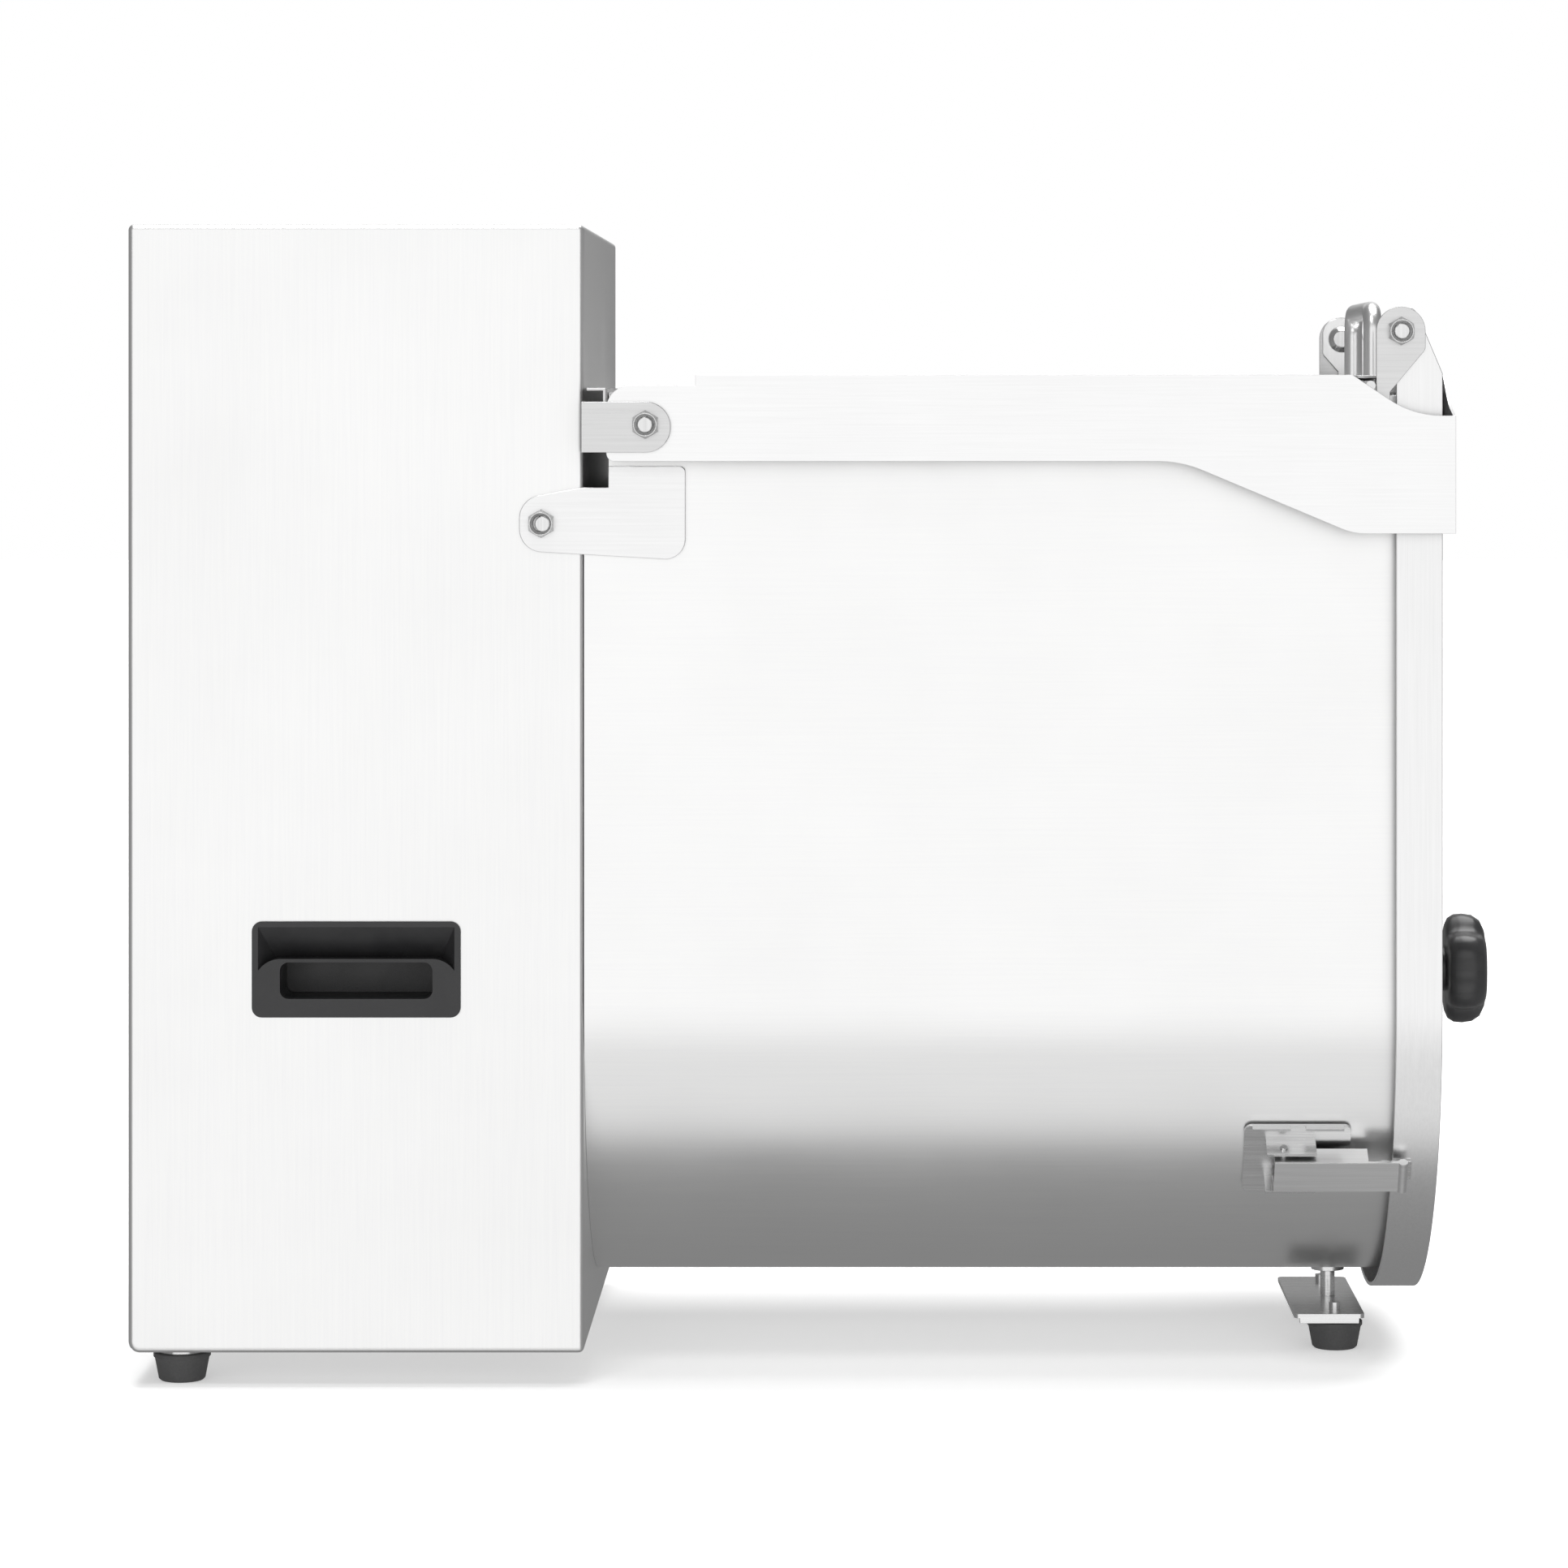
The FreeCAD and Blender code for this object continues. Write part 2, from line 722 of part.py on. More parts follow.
def make_hinge_bolts():
    bolts = []
    nuts = []
    for x, z, inside, outside in HINGES:
        tip = outside + d.nut_height + d.bolt_end
        shank = rod("Y", x, -tip, z, d.bolt_radius, tip - inside)
        head = taper("Y", x, -inside, z, 8.0, 5.0, 4.4)
        bolt = fuse(shank, head)
        nut = cut(hexagon("Y", x, -outside - d.nut_height, z, d.nut_flats, d.nut_height),
                  rod("Y", x, -outside - d.nut_height - past, z, d.bolt_radius,
                      d.nut_height + 2 * past))
        bolts += [bolt, mirrored(bolt)]
        nuts += [nut, mirrored(nut)]
    node("hinge_nuts", group(*nuts))
    return node("hinge_bolts", group(*bolts))


# ---- tank ------------------------------------------------------------------------------------


def make_tank(bolts):
    shell = trough(housing_x1, tank_x1 - d.tank_flange - housing_x1, d.tank_radius, tank_top,
                   tank_inner)
    notch = block(housing_x1 - past, tank_wall_x, -housing_y - past, housing_y + past,
                  tank_notch_z, tank_top + past)
    flange = trough(tank_x1 - d.tank_flange, d.tank_flange, d.tank_radius + d.tank_flange_out,
                    tank_top, tank_inner)
    node("tank_shell", fuse(cut(shell, notch), flange))
    wall = trough(tank_wall_x, d.sheet, tank_inner, tank_top)
    fold = block(tank_wall_x, lid_hinge_x + d.lid_plate_start + 12, -d.tank_radius, d.tank_radius,
                 tank_top, tank_top + d.sheet)
    bore = rod("X", tank_wall_x - past, 0, d.axis_height, 20, d.sheet + 2 * past)
    node("tank_end_wall", cut(fuse(wall, fold), bore))
    left = housing_x1 - d.side_plate_over
    right = housing_x1 + d.side_plate_reach
    low = side_plate_z
    corners = [(left, low + 5, 12), (right, low, 10.5), (right, low + d.side_plate_height, 3),
               (tank_wall_x, low + d.side_plate_height), (tank_wall_x, tank_notch_z),
               (housing_x1, tank_notch_z), (left, low + 32, 12)]
    side_plate = plate_xz(corners, -housing_y, d.side_plate)
    front = cut(side_plate, bolts)
    node("side_plates", group(front, mirrored(front)))


def make_tank_foot_bracket(foot_bolts):
    """A flat plate with lipped ends, hung under the drum on one stud and its boss."""
    x0 = tank_foot_x - 23
    x1 = tank_foot_x + d.foot_radius
    half = d.tank_foot_spread / 2 + d.foot_radius
    body = plate_xy(rectangle(x0, x1, -half, half, 3), housing_z0, d.tank_foot_plate)
    lip_z = d.foot_height + d.running_gap
    lips = [block(x0 + 3, x1 - 3, low, low + d.tank_foot_plate, lip_z, housing_z0 + 1)
            for low in (-half, half - d.tank_foot_plate)]
    boss_z = d.axis_height - d.tank_radius - d.foot_boss_height
    stud = rod("Z", tank_foot_x, 0, housing_z0, d.bolt_radius, boss_z + 4 - housing_z0)
    boss = rod("Z", tank_foot_x, 0, boss_z, d.foot_boss_radius, 12)
    drum = rod("X", x0 - past, 0, d.axis_height, d.tank_radius, x1 - x0 + 2 * past)
    node("tank_foot_bracket", cut(fuse(body, *lips, stud, boss), drum, foot_bolts))


def make_door_ears(bolts):
    hinge_x = door_hinge_x
    hinge_z = door_hinge_z
    radius = d.ear_radius
    foot_x0 = hinge_x - 36
    foot_z0 = hinge_z - 80
    corners = [(hinge_x - radius, hinge_z + radius, radius - 0.1),
               (foot_x0 + 36 - radius, hinge_z - 34, 6), (foot_x0, foot_z0 + 28, 5),
               (foot_x0, foot_z0, 5), (hinge_x - 7, foot_z0, 5), (hinge_x - 5.7, hinge_z - 31.5),
               (hinge_x + radius, hinge_z - 9.5, 4), (hinge_x + radius, hinge_z + radius, radius - 0.1)]
    ear = plate_xz(corners, -ear_y, d.ear_plate)
    stand_off = block(foot_x0 + 2, hinge_x - 9, -ear_y, -d.tank_radius, foot_z0 + 2, foot_z0 + 26)
    tie_reach = ear_y + d.ear_plate
    tie_rod = rod("Y", hinge_x - 15.7, -tie_reach, hinge_z - 28.2, 2.5, 2 * tie_reach)
    front = cut(fuse(ear, stand_off), bolts, tie_rod)
    node("door_ears", group(front, mirrored(front)))
    node("ear_tie_rod", tie_rod)


def make_lid_hinge(bolts):
    x0 = housing_x1
    low = lid_hinge_z - d.bracket_end - 1.4
    high = lid_hinge_z + d.bracket_end - 1.2
    side_plate = plate_xz([(x0, low), (lid_hinge_x + d.bracket_end, low, d.bracket_end - 0.1),
                           (lid_hinge_x + d.bracket_end, high, d.bracket_end - 0.1), (x0, high)],
                          -bracket_y, d.plate)
    flange = block(x0, x0 + d.plate, -bracket_y, -housing_y + 15, low, high)
    front = cut(fuse(side_plate, flange), bolts)
    node("lid_hinge_brackets", group(front, mirrored(front)))
    half = lid_y - d.sheet - 1
    beam_x0 = x0 + d.plate
    outer = block(beam_x0, beam_x0 + 10, -half, half, low, high + 7.2)
    inner = block(beam_x0 - past, beam_x0 + 10 - d.sheet, -half - past, half + past,
                  low + d.sheet, high + 7.2 - d.sheet)
    node("lid_hinge_beam", cut(outer, inner))


# ---- lid and its pull handle -----------------------------------------------------------------

pull_x = lid_nose_x - d.pull_from_nose
scoop_x = lid_nose_x - d.lid_notch_length
scoop_z = lid_top - d.lid_scoop_drop
ear_hole = d.bolt_radius + d.shaft_gap


def make_pull_screws():
    screws = []
    for side in (-1, 1):
        y = d.pull_span * side / 2
        screws.append(fuse(rod("Z", pull_x, y, lid_top - d.sheet - 3, 5, 3),
                           rod("Z", pull_x, y, lid_top - d.sheet, 2.5, 14)))
    return node("pull_screws", group(*screws))


def make_lid(pull_screws):
    """Folded sheet: two skirts, a top with a narrower tongue at the nose, and a nose panel."""
    back = lid_hinge_x - d.lid_ear_back
    plate_x0 = lid_hinge_x + d.lid_plate_start
    nose_x0 = lid_nose_x - d.lid_nose_length
    corners = [(back, lid_skirt_z, 4), (nose_x0 - d.lid_slope_length - 15, lid_skirt_z, 60),
               (nose_x0 - 6, lid_nose_z, 30), (lid_nose_x, lid_nose_z),
               (lid_nose_x, scoop_z), (lid_nose_x - d.lid_scoop_flat, scoop_z, 50),
               (scoop_x, lid_top), (plate_x0, lid_top), (plate_x0, lid_top - d.lid_step),
               (back, lid_top - d.lid_step, 12)]
    hinge_hole = (lid_hinge_x, lid_hinge_z, ear_hole)
    skirt = plate_xz(corners, -lid_y + d.sheet, d.sheet, [hinge_hole])
    tongue = d.lid_tongue_width / 2
    top_corners = [(plate_x0, -lid_y), (scoop_x, -lid_y), (scoop_x, -tongue, 8),
                   (lid_nose_x, -tongue), (lid_nose_x, tongue), (scoop_x, tongue, 8),
                   (scoop_x, lid_y), (plate_x0, lid_y)]
    top = plate_xy(top_corners, lid_top - d.sheet, d.sheet)
    nose_corners = [(-lid_y, lid_nose_z), (lid_y, lid_nose_z), (lid_y, scoop_z),
                    (tongue + 28, scoop_z + 5, 50), (tongue, lid_top),
                    (-tongue, lid_top), (-tongue - 28, scoop_z + 5, 50), (-lid_y, scoop_z)]
    nose = plate_yz(nose_corners, lid_nose_x - d.sheet, d.sheet)
    stiffener = block(plate_x0, plate_x0 + d.sheet, -lid_y, lid_y, lid_top - 8, lid_top)
    node("lid", cut(fuse(skirt, mirrored(skirt), top, nose, stiffener), pull_screws))


def make_pull_handle(pull_screws):
    """Bent round bar, standing on the lid's tongue."""
    body = new_body()
    path = new_sketch(body, "YZ_Plane")
    half = d.pull_span / 2
    rise = pull_top - lid_top - d.pull_radius
    add_outline(path, [(-half, 0), (-half, rise, d.pull_bend), (half, rise, d.pull_bend), (half, 0)],
                closed=False)
    section = new_sketch(body, "XY_Plane")
    add_circle(section, 0, -half, d.pull_radius)
    doc.recompute()
    pipe = body.newObject("PartDesign::AdditivePipe", "pipe")
    pipe.Profile = section
    pipe.Spine = (path, [f"Edge{i + 1}" for i in range(len(path.Shape.Edges))])
    body.Tip = pipe
    locate(body, pull_x, 0, lid_top)
    node("pull_handle", cut(body, pull_screws))


# ---- end door and star knob ------------------------------------------------------------------

bush_radius = d.knob_hub_radius
bush_out = 10.0


def make_door():
    """A pressed end cover: flat end, a rim over the tank's flange, and two hanging lugs."""
    band = trough(door_x0, d.door_depth - d.door_sheet, door_radius, door_top, lug_inner)
    end = trough(door_inner, d.door_sheet, door_radius, door_top)
    low = door_top - 25
    high = door_hinge_z + 12
    reach = 11
    corners = [(door_x0, low), (door_x1, low), (door_x1, door_hinge_z - d.door_hinge_in),
               (door_hinge_x + reach, high - 8), (door_hinge_x + reach - 4, high, 3),
               (door_hinge_x - reach, high, 9), (door_hinge_x - reach, door_hinge_z - 9, 4),
               (door_x0, door_hinge_z - 19)]
    hinge_hole = (door_hinge_x, door_hinge_z, ear_hole)
    lug = plate_xz(corners, -lug_inner, d.door_sheet, [hinge_hole])
    bore = rod("X", door_inner - past, 0, d.axis_height, bush_radius, d.door_sheet + 2 * past)
    node("door", cut(fuse(band, end, lug, mirrored(lug)), bore))
    node("door_gasket", trough(tank_x1 + d.running_gap, d.gasket_thickness - d.running_gap,
                               d.tank_radius + 4, tank_top, tank_inner - 3))


def make_door_bush():
    """Bearing bush in the middle of the door, flanged on the inside."""
    bore = d.spindle_radius + d.shaft_gap
    inside = 6
    profile = [(door_inner - inside, bore), (door_x1 + bush_out, bore),
               (door_x1 + bush_out, bush_radius), (door_inner, bush_radius),
               (door_inner, bush_radius + 6), (door_inner - inside, bush_radius + 6)]
    node("door_bush", turned_x(profile, 0, 0, d.axis_height))


def make_star_knob(spindle):
    hub_x = door_x1 + bush_out + d.running_gap
    lobes_x = machine_x1 - d.knob_length
    hub = rod("X", hub_x, 0, d.axis_height, bush_radius - 2, lobes_x - hub_x)
    profile = [(lobes_x, 0), (lobes_x, d.knob_radius, 3), (lobes_x + 12, d.knob_radius, 4),
               (machine_x1, d.knob_radius - 12, 8), (machine_x1, 0)]
    grip = turned_x(profile, 0, 0, d.axis_height)
    hollows = []
    count = 6
    for i in range(count):
        angle = 2 * math.pi * (i + 0.5) / count
        out = d.knob_radius + 6
        hollows.append(rod("X", lobes_x - past, out * math.cos(angle),
                           d.axis_height + out * math.sin(angle), 12, d.knob_length + 2 * past))
    node("star_knob", cut(fuse(hub, grip), spindle, *hollows))


def make_spindle():
    """Steel pin that carries the free end of the mixing shaft, moulded into the knob."""
    x0 = tank_x1 - d.spindle_into_shaft
    return node("knob_spindle", rod("X", x0, 0, d.axis_height, d.spindle_radius,
                                    machine_x1 - 10 - x0))


# ---- draw latches ----------------------------------------------------------------------------

lever_pivot_x = latch_x0 + 20.4
lever_pivot_out = d.tank_radius + 9
claw_pivot_x = lever_pivot_x + 12
keeper_x = door_x0 - 6
latch_turn = FreeCAD.Rotation(V(1, 0, 0), SIZES["latch_angle"])


def on_drum(shape):
    """Swings a piece, made at the height of the mixing axis, down to the latch's place."""
    return locate(shape, 0, 0, d.axis_height, latch_turn)


def latch_block(x0, x1, out0, out1, low, high):
    return block(x0, x1, -as_size(out1), -as_size(out0), low, high)


def make_latch_bases():
    half = d.latch_width / 2
    radius = d.tank_radius
    end = latch_x0 + d.latch_base_length
    sole_half = d.latch_sole_width / 2
    sole = latch_block(latch_x0, end, radius, radius + d.sheet, -sole_half, sole_half)
    sole = rounded(sole, d.latch_sole_corner, lambda point, way: abs(way.y) > 0.9)
    lip_reach = radius + d.latch_lip_reach
    lips = [latch_block(low, high, radius, lip_reach, sole_half - d.sheet, sole_half)
            for low, high in ((latch_x0 + d.latch_sole_corner, latch_x0 + d.latch_lip_length),
                              (end - d.latch_lip_length, end - d.latch_sole_corner))]
    cheek_x0 = lever_pivot_x - 9
    cheeks = [latch_block(cheek_x0, cheek_x0 + 26, radius, lever_pivot_out + 5, side, side + d.sheet)
              for side in (as_size(-half + 2), half - 2 - d.sheet)]
    front = on_drum(cut(fuse(sole, *lips, *cheeks), latch_pin()))
    node("latch_bases", group(front, mirrored(front)))


def latch_pin():
    length = d.latch_width - 2
    return rod("Z", lever_pivot_x, -lever_pivot_out, -length / 2, 2, length)


def make_latch_pins():
    front = on_drum(group(latch_pin()))
    node("latch_pins", group(front, mirrored(front)))


def make_latch_levers():
    half = d.lever_width / 2
    x0 = lever_pivot_x - 5
    x1 = x0 + d.lever_length - 2
    out0 = lever_pivot_out - 4
    out1 = lever_pivot_out + d.lever_rise
    web = latch_block(x0, x1, out1 - d.lever_sheet, out1, -half, half)
    sides = [latch_block(x0, x1 - 18, out0, out1, low, low + d.lever_sheet)
             for low in (-half, half - d.lever_sheet)]
    bead = rod("Z", x1, -out1 + 1, -half, 2.5, 2 * half)
    pin_hole = rod("Z", lever_pivot_x, -lever_pivot_out, -half - past, 2 + d.shaft_gap,
                   2 * half + 2 * past)
    claw_hole = rod("Z", claw_pivot_x, -lever_pivot_out, -half - past, 1.5 + d.shaft_gap,
                    2 * half + 2 * past)
    front = on_drum(cut(fuse(web, *sides, bead), pin_hole, claw_hole))
    node("front_lever", front)
    node("rear_lever", mirrored(front))


def make_latch_claws():
    """A flat hook with its own pivot pin, drawn just clear over the lip of the keeper."""
    lip_out = -door_radius - 2
    tip_x = keeper_x + 6
    out = -lever_pivot_out
    top = out - d.lever_rise + d.lever_sheet + d.running_gap
    corners = [(claw_pivot_x, top, 2), (claw_pivot_x - 4, out - 3, 2), (claw_pivot_x - 4, out + 4, 2),
               (claw_pivot_x + 14, out + 4, 6), (keeper_x - 8, lip_out + 1.4, 4),
               (keeper_x - 3, lip_out - 0.4), (tip_x, lip_out - 0.4), (tip_x, top, 1)]
    body = new_body()
    sketch = new_sketch(body, "XY_Plane")
    add_outline(sketch, corners)
    pad(body, sketch, 7, midplane=True)
    pin = rod("Z", claw_pivot_x, out, -d.lever_width / 2, 1.5, d.lever_width)
    front = on_drum(fuse(body, pin))
    node("front_claw", front)
    node("rear_claw", mirrored(front))


def make_keepers():
    """Bent tabs on the edge of the door's rim, with the lip that the claws pull on."""
    low = -6
    foot = latch_block(keeper_x, door_x0 + 10, door_radius, door_radius + d.sheet, low, 6)
    lip = latch_block(keeper_x, keeper_x + d.sheet, door_radius, door_radius + 2, low, 6)
    front = on_drum(cut(fuse(foot, lip), rod("X", door_x0 - 8, 0, 0, door_radius, 24)))
    node("latch_keepers", group(front, mirrored(front)))


# ---- mixing shaft and paddles ----------------------------------------------------------------

shaft_x0 = tank_wall_x + 10
shaft_x1 = tank_x1 - 10
paddle_pitch = (shaft_x1 - shaft_x0 - d.paddle_from_wall - d.paddle_from_door) / 3
drive_flats = 18.0
drive_length = 24.0


def make_mixing_shaft():
    body = rod("X", shaft_x0, 0, d.axis_height, d.shaft_radius, shaft_x1 - shaft_x0)
    drive = hexagon("X", shaft_x0, 0, d.axis_height, drive_flats, drive_length)
    socket = rod("X", tank_x1 - d.spindle_into_shaft - 4, 0, d.axis_height,
                 d.spindle_radius + d.socket_gap, 30)
    node("mixing_shaft", cut(body, drive, socket))


def make_paddles():
    """Four arms along the shaft, a quarter turn apart, each with a blade set across it."""
    paddles = []
    half = d.paddle_width / 2
    reach = paddle_reach
    for i in range(4):
        arm = rod("Z", 0, 0, 0, d.paddle_arm_radius, reach - 20)
        body = new_body()
        sketch = new_sketch(body, "XZ_Plane")
        add_outline(sketch, [(-half, reach - 88, 12), (half, reach - 88, 12), (half, reach, 20),
                             (-half, reach, 20)])
        pad(body, sketch, d.paddle_plate, midplane=True)
        locate(body, turn=FreeCAD.Rotation(V(0, 0, 1), 45))
        whole = fuse(arm, body)
        x = shaft_x0 + d.paddle_from_wall + i * paddle_pitch
        locate(whole, x, 0, d.axis_height, FreeCAD.Rotation(V(1, 0, 0), 90 * i))
        bore = rod("X", x - 20, 0, d.axis_height, d.shaft_radius, 40)
        paddles.append(cut(whole, bore))
    node("paddles", group(*paddles))


# ---- gear unit -------------------------------------------------------------------------------

gear_x0 = gear_x - d.gear_width / 2
gear_x1 = gear_x + d.gear_width / 2
worm_y = -centre_distance
gear_z0 = d.axis_height - 75
gear_z1 = d.axis_height + 89
bearing_radius = 28.0
bearing_length = 14.0
worm_bearing_radius = 18.0
worm_bearing_length = 15.0
cover_thickness = 8.0
flange_length = 10.0


def make_gear_bearings():
    """Two rings on the output shaft and two on the worm."""
    rings = [ring("X", x, 0, d.axis_height, bearing_radius, d.output_radius + d.shaft_gap,
                  bearing_length)
             for x in (gear_x0 + 1, gear_x1 - bearing_length - 4)]
    rings += [ring("Z", gear_x, worm_y, z, worm_bearing_radius,
                   d.worm_shaft_radius + d.shaft_gap, worm_bearing_length)
              for z in (gear_z0 + 8, gear_z1 - worm_bearing_length - 4)]
    return node("gear_bearings", group(*rings))


def make_gearbox():
    solid = block(gear_x0, gear_x1, worm_y - 26, as_size(70), gear_z0, gear_z1)
    wheel_room = rod("X", gear_x0 - past, 0, d.axis_height, d.wheel_radius + 5,
                     d.gear_width / 2 + d.wheel_width / 2 + 5 + past)
    worm_room = rod("Z", gear_x, worm_y, gear_z0 + 8, worm_bearing_radius, gear_z1 - gear_z0)
    bearing_seat = rod("X", gear_x1 - 30, 0, d.axis_height, bearing_radius, 26)
    outlet = rod("X", gear_x1 - 10, 0, d.axis_height, d.output_radius + 1, 20)
    node("gearbox_housing", cut(solid, wheel_room, worm_room, bearing_seat, outlet))
    cover = block(gear_x0 - cover_thickness, gear_x0, worm_y - 26, as_size(70), gear_z0, gear_z1)
    boss = rod("X", gear_x0, 0, d.axis_height, bearing_radius + 6, bearing_length)
    seat = rod("X", gear_x0 + 1, 0, d.axis_height, bearing_radius, bearing_length)
    node("gearbox_cover", cut(fuse(cover, boss), seat))


def make_worm_wheel():
    body = new_body()
    sketch = new_sketch(body, "YZ_Plane")
    add_circle(sketch, 0, 0, d.wheel_radius)
    add_circle(sketch, 0, 0, d.output_radius)
    disc = pad(body, sketch, d.wheel_width, midplane=True)
    gap_sketch = new_sketch(body, "YZ_Plane")
    root = d.wheel_radius - 6
    add_outline(gap_sketch, [(-1.4, root), (1.4, root), (3.2, d.wheel_radius + 1),
                             (-3.2, d.wheel_radius + 1)])
    gap = body.newObject("PartDesign::Pocket", "tooth_gap")
    gap.Profile = gap_sketch
    gap.Midplane = True
    bind(gap, Length=d.wheel_width + 2)
    doc.recompute()
    if gap.Shape.Volume > disc.Shape.Volume - 50:
        raise RuntimeError("the tooth gap cuts nothing")
    pattern = body.newObject("PartDesign::PolarPattern", "teeth")
    pattern.Originals = [gap]
    pattern.Axis = (gap_sketch, ["N_Axis"])
    pattern.Angle = 360
    pattern.setExpression("Occurrences", "sizes.wheel_teeth")
    body.Tip = pattern
    node("worm_wheel", locate(body, gear_x, 0, d.axis_height))


def make_worm():
    """The worm and its shaft; its thread is drawn as rings."""
    shaft = d.worm_shaft_radius
    low = gear_z0 + 9
    corners = [(0, low), (shaft, low)]
    pitch = 9.6
    for turn in range(-3, 4):
        middle = d.axis_height + turn * pitch
        corners += [(shaft, middle - 3.4), (d.worm_radius, middle - 1.3),
                    (d.worm_radius, middle + 1.3), (shaft, middle + 3.4)]
    corners += [(shaft, gear_z1), (0, gear_z1)]
    node("worm", turned_z(corners, gear_x, worm_y, 0))


def make_output_shaft():
    body = rod("X", gear_x0 + 2, 0, d.axis_height, d.output_radius, shaft_x0 - gear_x0 - 2)
    drive = hexagon("X", shaft_x0, 0, d.axis_height, drive_flats, drive_length)
    node("output_shaft", fuse(body, drive))


def make_flange_bolts():
    bolts = []
    wall_x = housing_x1 - d.sheet
    for i in range(4):
        angle = math.pi / 4 + i * math.pi / 2
        y = 46 * math.cos(angle)
        z = d.axis_height + 46 * math.sin(angle)
        length = flange_length + d.sheet + 5
        bolts.append(fuse(hexagon("X", wall_x - flange_length - 5, y, z, 13, 5),
                          rod("X", wall_x - flange_length - 5, y, z, 4, length + 5)))
    return node("flange_bolts", group(*bolts))


def make_bearing_flange(flange_bolts):
    """Tube that bolts the gear unit to the housing's tank wall."""
    wall_x = housing_x1 - d.sheet
    bore = d.output_radius + 2
    profile = [(gear_x1, bore), (wall_x, bore), (wall_x, 58), (wall_x - flange_length, 58),
               (wall_x - flange_length, 36, 5), (gear_x1, 36)]
    node("bearing_flange", cut(turned_x(profile, 0, 0, d.axis_height), flange_bolts))


def make_shaft_seal():
    """White plastic bush that seals the shaft where it enters the tank."""
    inner = d.output_radius + 0.3
    profile = [(tank_wall_x - 6, inner), (tank_wall_x + d.sheet + 6, inner),
               (tank_wall_x + d.sheet + 6, 28, 1.5), (tank_wall_x + d.sheet, 28),
               (tank_wall_x + d.sheet, 20), (tank_wall_x - 6, 20)]
    node("shaft_seal", turned_x(profile, 0, 0, d.axis_height))


# ---- motor -----------------------------------------------------------------------------------

bell = 12.0
motor_z0 = gear_z1 + bell
motor_z1 = motor_z0 + d.motor_length
fan_z = motor_z1 + bell + 4


def make_motor():
    x = gear_x
    y = worm_y
    outer = d.motor_radius
    inner = outer - d.motor_wall
    tube = ring("Z", x, y, motor_z0, outer - 4, inner, d.motor_length)
    fins = []
    for i in range(16):
        fin = group(block(-1.5, 1.5, inner + 0.3, outer, motor_z0, motor_z1))
        fins.append(locate(fin, x, y, 0, FreeCAD.Rotation(V(0, 0, 1), i * 22.5)))
    node("motor_frame", fuse(tube, *fins))
    bore = d.worm_shaft_radius + d.shaft_gap
    bells = [ring("Z", x, y, z, outer - 3, bore, bell) for z in (gear_z1, motor_z1)]
    node("motor_end_bells", group(*bells))
    node("stator", ring("Z", x, y, motor_z0 + 18, inner, d.rotor_radius + 0.5,
                        d.motor_length - 36))
    core = rod("Z", x, y, motor_z0 + 20, d.rotor_radius, d.motor_length - 40)
    shaft = rod("Z", x, y, gear_z1, d.worm_shaft_radius, fan_z + 14 - gear_z1)
    node("rotor", fuse(core, shaft))
    hub = ring("Z", x, y, fan_z, 16, d.worm_shaft_radius, 14)
    disc = ring("Z", x, y, fan_z, outer - 12, 14, 2.5)
    blades = []
    for i in range(8):
        blade = group(block(-1.2, 1.2, 15, outer - 13, fan_z, fan_z + 14))
        blades.append(locate(blade, x, y, 0, FreeCAD.Rotation(V(0, 0, 1), i * 45)))
    node("motor_fan", fuse(hub, disc, *blades))
    top = fan_z + 22
    cover = cut(rod("Z", x, y, motor_z1 + bell, outer, top - motor_z1 - bell),
                rod("Z", x, y, motor_z1 + bell - past, outer - 2, top - motor_z1 - bell - 1),
                *[rod("Z", x + 34 * math.cos(i * math.pi / 4), y + 34 * math.sin(i * math.pi / 4),
                      top - 5, 9, 10) for i in range(8)])
    node("fan_cover", cover)


# ---- controls --------------------------------------------------------------------------------

panel_y = housing_y + 1.5
bezel_y = panel_y + d.bezel_rim
cap_gap = 0.4


def make_controls():
    half = d.panel_length / 2
    panel = block(gear_x - half, gear_x + half, housing_y, panel_y, panel_z,
                  panel_z + d.panel_height)
    holes = [rod("Y", x, housing_y - past, button_z, d.button_radius, 4) for x in button_places]
    node("control_panel", cut(panel, *holes))
    bezels = [ring("Y", x, panel_y, button_z, d.button_radius + 4, d.button_radius, d.bezel_rim)
              for x in button_places]
    node("button_bezels", group(*bezels))
    cap_y = housing_y - d.sheet - 2
    length = bezel_y + d.button_proud - cap_y
    names = ("forward_button", "stop_button", "reverse_button")
    for name, x in zip(names, button_places):
        cap = rod("Y", x, cap_y, button_z, d.button_radius - cap_gap, length)
        if name == "stop_button":
            head = taper("Y", x, bezel_y + d.button_travel + 1, button_z, d.button_radius + 4,
                         d.button_radius + 2, 7)
            cap = fuse(cap, head)
        node(name, cap)
    blocks = []
    inside = housing_y - d.sheet
    for x in button_places:
        neck = ring("Y", x, inside - 8, button_z, d.button_radius + 3, d.button_radius, 8)
        body = block(x - 15, x + 15, inside - 44, inside - 8, button_z - 20, button_z + 20)
        blocks.append(fuse(body, neck))
    node("contact_blocks", group(*blocks))


def make_contactors():
    inside = housing_y - d.sheet
    blocks = []
    for x in (gear_x - 60, gear_x - 5):
        body = block(x, x + 45, inside - 62, inside, as_size(290), 365)
        step = block(x + 5, x + 40, inside - 70, inside - 62, as_size(305), 350)
        blocks.append(fuse(body, step))
    node("contactors", group(*blocks))
    x = gear_x + 50
    can = rod("Z", x + 22, inside - 22, 290, 20, 85)
    clip = block(x + 2, x + 42, inside - 4, inside, as_size(300), 315)
    node("capacitor", fuse(can, clip))


